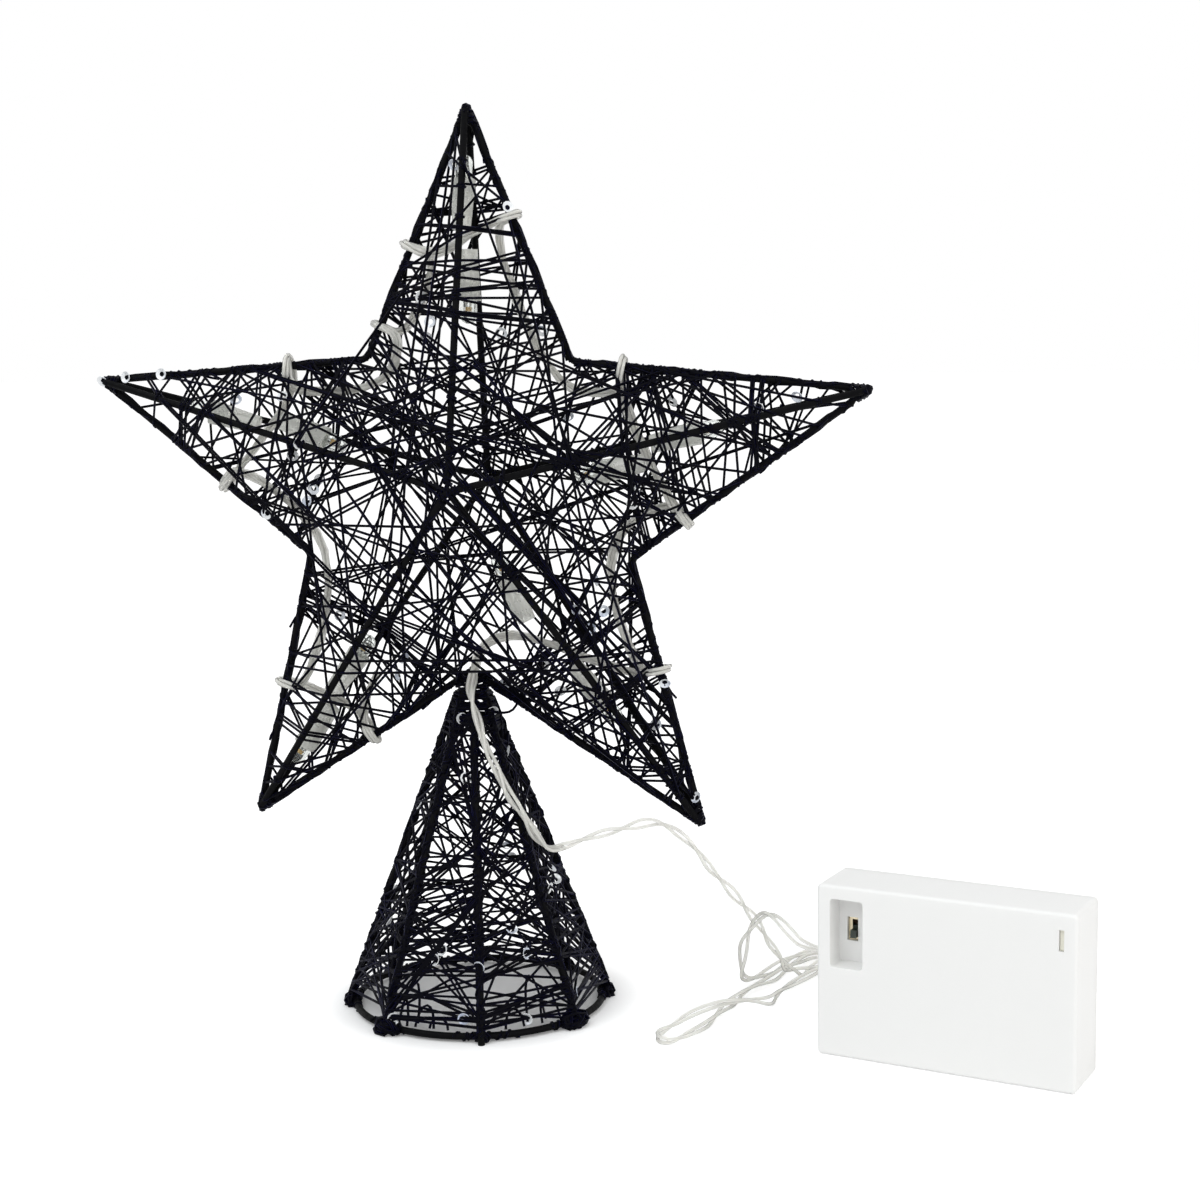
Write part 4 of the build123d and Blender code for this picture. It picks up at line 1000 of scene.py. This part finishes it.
leg_paths = []
sleeve_middles = [middle for middle, facing in solids_of("light_sleeves")]
for chip, facing in solids_of("light_chips"):
    sleeve = min(sleeve_middles, key=lambda middle: (middle - chip).length)
    way = (sleeve - chip).normalized()
    spread = way.cross(Vector((0, 1, 0))).normalized() * LEG_SPREAD
    for aside in (-spread, spread):
        bend, end = chip + way * LEG_BEND + aside, chip + way * LEG_REACH + aside
        leg_paths.append([chip + aside * LEG_PINCH, bend, end])
light_legs = strand_piece("light_legs", leg_paths, LEG / 2, core_finish)
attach(light_legs, "star")

# Lead: the string's wires come out at the neck, lie down the cone in a bundle and go on as a clear
# twisted pair, in an arch to a hank on the table and up in a loop into the side of the box.
# Its points are in millimetres, and the hank's are measured along it from its fold and aside from it.
CORD_LAY = 24.0 * MM
CORD_WIRE_OUT = 0.85 * MM
HANK_FROM = 0.175
HANK_SLACK = 2.1
BUNDLE_LENGTH = 0.062
BUNDLE_LAY = 90.0 * MM
BUNDLE_OUT = 0.85 * CORD_WIRE_OUT
BUNDLE_CLEAR = 0.9
BUNDLE_POINTS = (
    (1.2, -9.1, 95.2), (2.7, -10.6, 88.3), (5.2, -12.2, 81.3), (8.3, -13.0, 74.0), (11.9, -13.2, 67.0),
    (16.1, -12.7, 59.8), (19.8, -11.6, 53.4), (22.8, -9.9, 48.6), (27.9, -8.15, 50.1),
)
ARCH_POINTS = (
    (33.0, -6.4, 51.6), (39.5, -5.6, 53.0), (46.5, -3.8, 55.2), (53.3, -2.0, 56.2), (60.2, 0.0, 53.0),
    (66.2, 2.0, 45.4), (71.6, 5.0, 37.0), (77.8, 8.3, 29.0), (82.6, 13.0, 20.5), (86.3, 18.0, 12.5),
    (89.6, 23.6, 5.4),
)
LOOP_POINTS = (
    (76.7, 17.2, 4.2), (76.6, 12.3, 9.6), (77.7, 7.0, 15.9), (79.6, 1.7, 22.9), (82.7, -4.0, 28.8),
    (86.2, -9.5, 32.1), (89.7, -14.5, 32.3), (93.1, -19.0, 30.0),
)
HANK_FOLD = (60.5, -29.5)
HANK_BEARING = 63.9
HANK_LIFT = 1.8
CROSS_RUN = 2
CROSS_FROM = 10.0
CROSS_TO = 33.0
CROSS_LIFT = 2.7
HANK_RUNS = (
    (
        (68.0, 3.1), (76.0, 3.4), (83.0, 3.9), (86.4, 2.8),
        (87.7, 0.1), (86.4, -2.6), (83.0, -3.8), (76.0, -3.3),
    ),
    (
        (62.0, -2.2), (48.0, -2.6), (37.0, -1.6), (26.0, 1.2), (14.0, 3.4),
        (6.0, 4.1), (0.0, 3.9), (-3.0, 2.8), (-4.3, 0.2),
    ),
    (
        (-3.0, -2.5), (0.0, -3.7), (5.0, -3.4), (13.0, -1.6), (24.0, 1.8), (32.0, 7.2),
        (40.0, 9.4), (47.0, 7.2), (56.0, 5.8), (66.0, 6.6), (80.0, 6.5),
    ),
    (
        (87.0, 6.7), (91.0, 4.2), (92.6, 0.0), (91.0, -4.2),
        (87.0, -6.7), (74.0, -6.6), (60.0, -6.3), (54.0, -6.3),
    ),
)
BOX_PLACE = (101.6, -34.5)
BOX_TURN = 19.5
BOX_DEPTH = 20.0
CORD_HEIGHT = 26.0
CORD_STRAIGHT = 7.8
CORD_INSIDE = 3.5
hank_way = round_point(1, HANK_BEARING, 0)
hank_across = Vector((hank_way.y, -hank_way.x, 0))
box_right = round_point(1, -BOX_TURN, 0)
box_back = round_point(1, 90 - BOX_TURN, 0)
cord_hole = Vector((*BOX_PLACE, CORD_HEIGHT)) + box_back * BOX_DEPTH / 2
entry_way = (ENTRY_FRONT - ENTRY_INSIDE).normalized()
cord_points = [ENTRY_FRONT / MM, ENTRY_FRONT / MM + entry_way * BUNDLE / MM]
for point in BUNDLE_POINTS:
    away = Vector((point[0], point[1], 0)).normalized()
    cord_points.append(Vector(point) + away * BUNDLE_CLEAR)
cord_points += [Vector(point) for point in ARCH_POINTS]
for run_number, run in enumerate(HANK_RUNS):
    for along, aside in run:
        crosses = run_number == CROSS_RUN and CROSS_FROM < along < CROSS_TO
        lift = HANK_LIFT + (CROSS_LIFT if crosses else 0)
        cord_points.append(Vector((*HANK_FOLD, lift)) + hank_way * along + hank_across * aside)
cord_points += [Vector(point) for point in LOOP_POINTS]
cord_points += [cord_hole - box_right * CORD_STRAIGHT, cord_hole + box_right * CORD_INSIDE]
cord_line = route_line([point * MM for point in cord_points], steps=8)
pair = twisted_wires(
    cord_line, 2, CORD_WIRE_OUT, CORD_LAY, wander=0.45, slack_from=HANK_FROM, slack=HANK_SLACK
)
bundle_line = []
run = 0.0
for before, place in zip(cord_line[:1] + cord_line, cord_line):
    run += (place - before).length
    if run < BUNDLE_LENGTH:
        bundle_line.append(place)
there, back = twisted_wires(bundle_line, 2, BUNDLE_OUT, BUNDLE_LAY, turned=math.pi / 2)
cord = clear_wires("lead_wires", pair + [there + back[::-1]])
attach(cord, "star")
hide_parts("lead_bundle", "lead_cord", "cord_hank", "box_cord")

# Battery case: a box of white plastic, moulded in one piece, that lets a little light in.
# Its faces are satin from the mould, with a fine grain.
PLASTIC_WHITE = (0.88, 0.878, 0.865, 1.0)
PLASTIC_GRAIN = (1800.0, (0.38, 0.52), 0.02 * MM)
PLASTIC_DEPTH = {"Subsurface Weight": 0.2, "Subsurface Radius": (1.0, 1.0, 1.0), "Subsurface Scale": 3.0 * MM}
dress(["battery_case"], new_finish("white_plastic", *PLASTIC_GRAIN, PLASTIC_WHITE, PLASTIC_DEPTH))

# Battery cover: the same white plastic, moulded with a latch arm that snaps into the slot in front.
# The cover turns from white to cream towards its front, where the end of the latch arm shows in the slot.
LATCH_CREAM = (0.86, 0.84, 0.72, 1.0)
LATCH_END = 3.0 * MM
cover_finish = new_finish("white_cover", *PLASTIC_GRAIN, values=PLASTIC_DEPTH)
cover_tree = cover_finish.node_tree
cover_depth = add_node(cover_tree, "VectorMath", {1: box_back}, "DOT_PRODUCT")
link(cover_tree, (add_node(cover_tree, "TexCoord"), "Object", cover_depth, 0))
latch_depth = box_back.dot(Vector((*BOX_PLACE, 0)) * MM)
cream_fade_start, cream_full_at = latch_depth + 2 * LATCH_END, latch_depth + LATCH_END
mix_colours(cover_finish, cover_depth.outputs["Value"], cream_fade_start, cream_full_at, PLASTIC_WHITE, LATCH_CREAM)
dress(["battery_cover"], cover_finish)

# Slide switch: a can of plated sheet, a brown laminate base with its pins, and a dark moulded knob.
# It stands behind the pocket, with the knob in the pocket's slot.
PLATED = (0.66, 0.58, 0.42, 1.0)
LAMINATE = (0.09, 0.05, 0.025, 1.0)
KNOB_DARK = (0.02, 0.03, 0.022, 1.0)
dress(["switch_can"], new_finish("plated_sheet", 700.0, (0.25, 0.42), 0.02 * MM, PLATED, BARE_METAL))
dress(["switch_base"], new_finish("brown_laminate", 1200.0, (0.4, 0.6), 0.03 * MM, LAMINATE))
dress(["switch_knob"], new_finish("dark_knob", 1600.0, (0.35, 0.5), 0.03 * MM, KNOB_DARK))

# Inside the box: cells in a plain dark wrap, laid in cradles between bright sheet contacts,
# and the thin wires soldered from the lead to the switch and the first contact.
WRAP_DARK = (0.03, 0.04, 0.06, 1.0)
CONTACT_BRIGHT = (0.75, 0.74, 0.7, 1.0)
CORE_RED = (0.4, 0.03, 0.02, 1.0)
cell_finish = new_finish("cell_wrap", 500.0, (0.25, 0.4), 0.02 * MM, WRAP_DARK, {"Coat Weight": 0.3})
dress(["battery_cells"], cell_finish)
contact_finish = new_finish("bright_contact", 900.0, (0.2, 0.4), 0.02 * MM, CONTACT_BRIGHT, BARE_METAL)
dress(["contact_plates", "contact_leaves"], contact_finish)
dress(["core_wires"], new_finish("inner_wire", 900.0, (0.35, 0.5), 0.03 * MM, CORE_RED))

# Floor: a plain pale sheet under the object that keeps its shadow.
# It is white to the eye further off, and under the cone its glow drops to show its pale colour: painted shade
# there, over the real shadow.
FLOOR_PALE = (0.86, 0.86, 0.86, 1.0)
# Inside the base ring the glow is low, and it rises to full a little outside the ring: painted shade on the
# floor under the cone.
PAINTED_SHADE_RADIUS = 0.036
PAINTED_SHADE_FADE_END = 0.05
GLOW_IN_PAINTED_SHADE = 0.08
GLOW_FAR = 0.46
GLOW = {"From Min": PAINTED_SHADE_RADIUS, "From Max": PAINTED_SHADE_FADE_END, "To Min": GLOW_IN_PAINTED_SHADE, "To Max": GLOW_FAR}
WHITE = (1.0, 1.0, 1.0, 1.0)
FLOOR = {"Base Color": FLOOR_PALE, "Roughness": 0.9, "Specular IOR Level": 0.2, "Emission Color": WHITE}


def seen_rays(tree):
    """The rays that show a background: to the camera, off gloss and through clear things."""
    rays = add_node(tree, "LightPath")
    seen = rays.outputs["Is Camera Ray"]
    for kind in ("Is Glossy Ray", "Is Transmission Ray"):
        either = add_node(tree, "Math", operation="MAXIMUM")
        tree.links.new(seen, either.inputs[0])
        tree.links.new(rays.outputs[kind], either.inputs[1])
        seen = either.outputs["Value"]
    return seen


bpy.ops.mesh.primitive_plane_add(size=12.0, location=(0, 0, 0))
floor = bpy.context.object
floor.name = "floor"
floor_finish, floor_tree, floor_shader = new_material("pale_floor", FLOOR)
floor_reach = add_node(floor_tree, "VectorMath", operation="LENGTH")
floor_shade_ramp = add_node(floor_tree, "MapRange", GLOW)
floor_glow = add_node(floor_tree, "Math", operation="MULTIPLY")
link(
    floor_tree,
    (add_node(floor_tree, "TexCoord"), "Object", floor_reach, 0),
    (floor_reach, "Value", floor_shade_ramp, "Value"),
    (floor_shade_ramp, "Result", floor_glow, 0),
    (floor_glow, "Value", floor_shader, "Emission Strength"),
)
floor_tree.links.new(seen_rays(floor_tree), floor_glow.inputs[1])
floor.data.materials.append(floor_finish)

# Studio: a white surround, a large soft lamp above on the left and a weaker one from the right.
# The surround lights the object less than it shows, so that pale plastic keeps its shade.
SURROUND_LIGHT = 0.72
SURROUND_SEEN = 1.0
world = bpy.data.worlds.new("white_studio")
bpy.context.scene.world = world
world.use_nodes = True
world_tree = world.node_tree
surround = world_tree.nodes["Background"]
set_values(surround, {"Color": WHITE})
strength = add_node(world_tree, "MapRange", {"To Min": SURROUND_LIGHT, "To Max": SURROUND_SEEN})
world_tree.links.new(seen_rays(world_tree), strength.inputs["Value"])
link(world_tree, (strength, "Result", surround, "Strength"))


def soft_lamp(name, place, aim, size, power, colour):
    """A large square lamp that looks at a point."""
    data = bpy.data.lights.new(name, "AREA")
    data.size = size
    data.energy = power
    data.color = colour
    lamp = bpy.data.objects.new(name, data)
    lamp.location = place
    lamp.rotation_euler = (Vector(aim) - Vector(place)).to_track_quat("-Z", "Y").to_euler()
    bpy.context.collection.objects.link(lamp)


soft_lamp("key_lamp", (-0.5, -0.7, 1.3), aim=(0.0, 0.0, 0.1), size=1.2, power=8.5, colour=(0.92, 0.97, 1.0))
soft_lamp("fill_lamp", (1.1, -0.9, 0.5), aim=(0.1, 0.0, 0.1), size=1.0, power=4.5, colour=(1.0, 0.98, 0.94))

# Camera: a little above the middle of the star and to its right, as the photograph was taken.
# Its turns are in radians: to the right, downwards and about its own line of sight.
LENS = 63.3
EYE = Vector((131.69, -593.26, 202.40)) * MM
YAW = -0.15688
PITCH = 0.13562
ROLL = -0.01498
look = Vector((math.sin(YAW) * math.cos(PITCH), math.cos(YAW) * math.cos(PITCH), -math.sin(PITCH)))
level = Vector((math.cos(YAW), -math.sin(YAW), 0.0))
upright = level.cross(look)
across = level * math.cos(ROLL) + upright * math.sin(ROLL)
up = upright * math.cos(ROLL) - level * math.sin(ROLL)
camera_data = bpy.data.cameras.new("camera")
camera_data.lens = LENS
camera_data.sensor_width = 36.0
camera = bpy.data.objects.new("camera", camera_data)
bpy.context.collection.objects.link(camera)
camera.matrix_world = Matrix.Translation(EYE) @ Matrix((across, up, -look)).transposed().to_4x4()
bpy.context.scene.camera = camera
bpy.context.scene.view_settings.view_transform = "Standard"
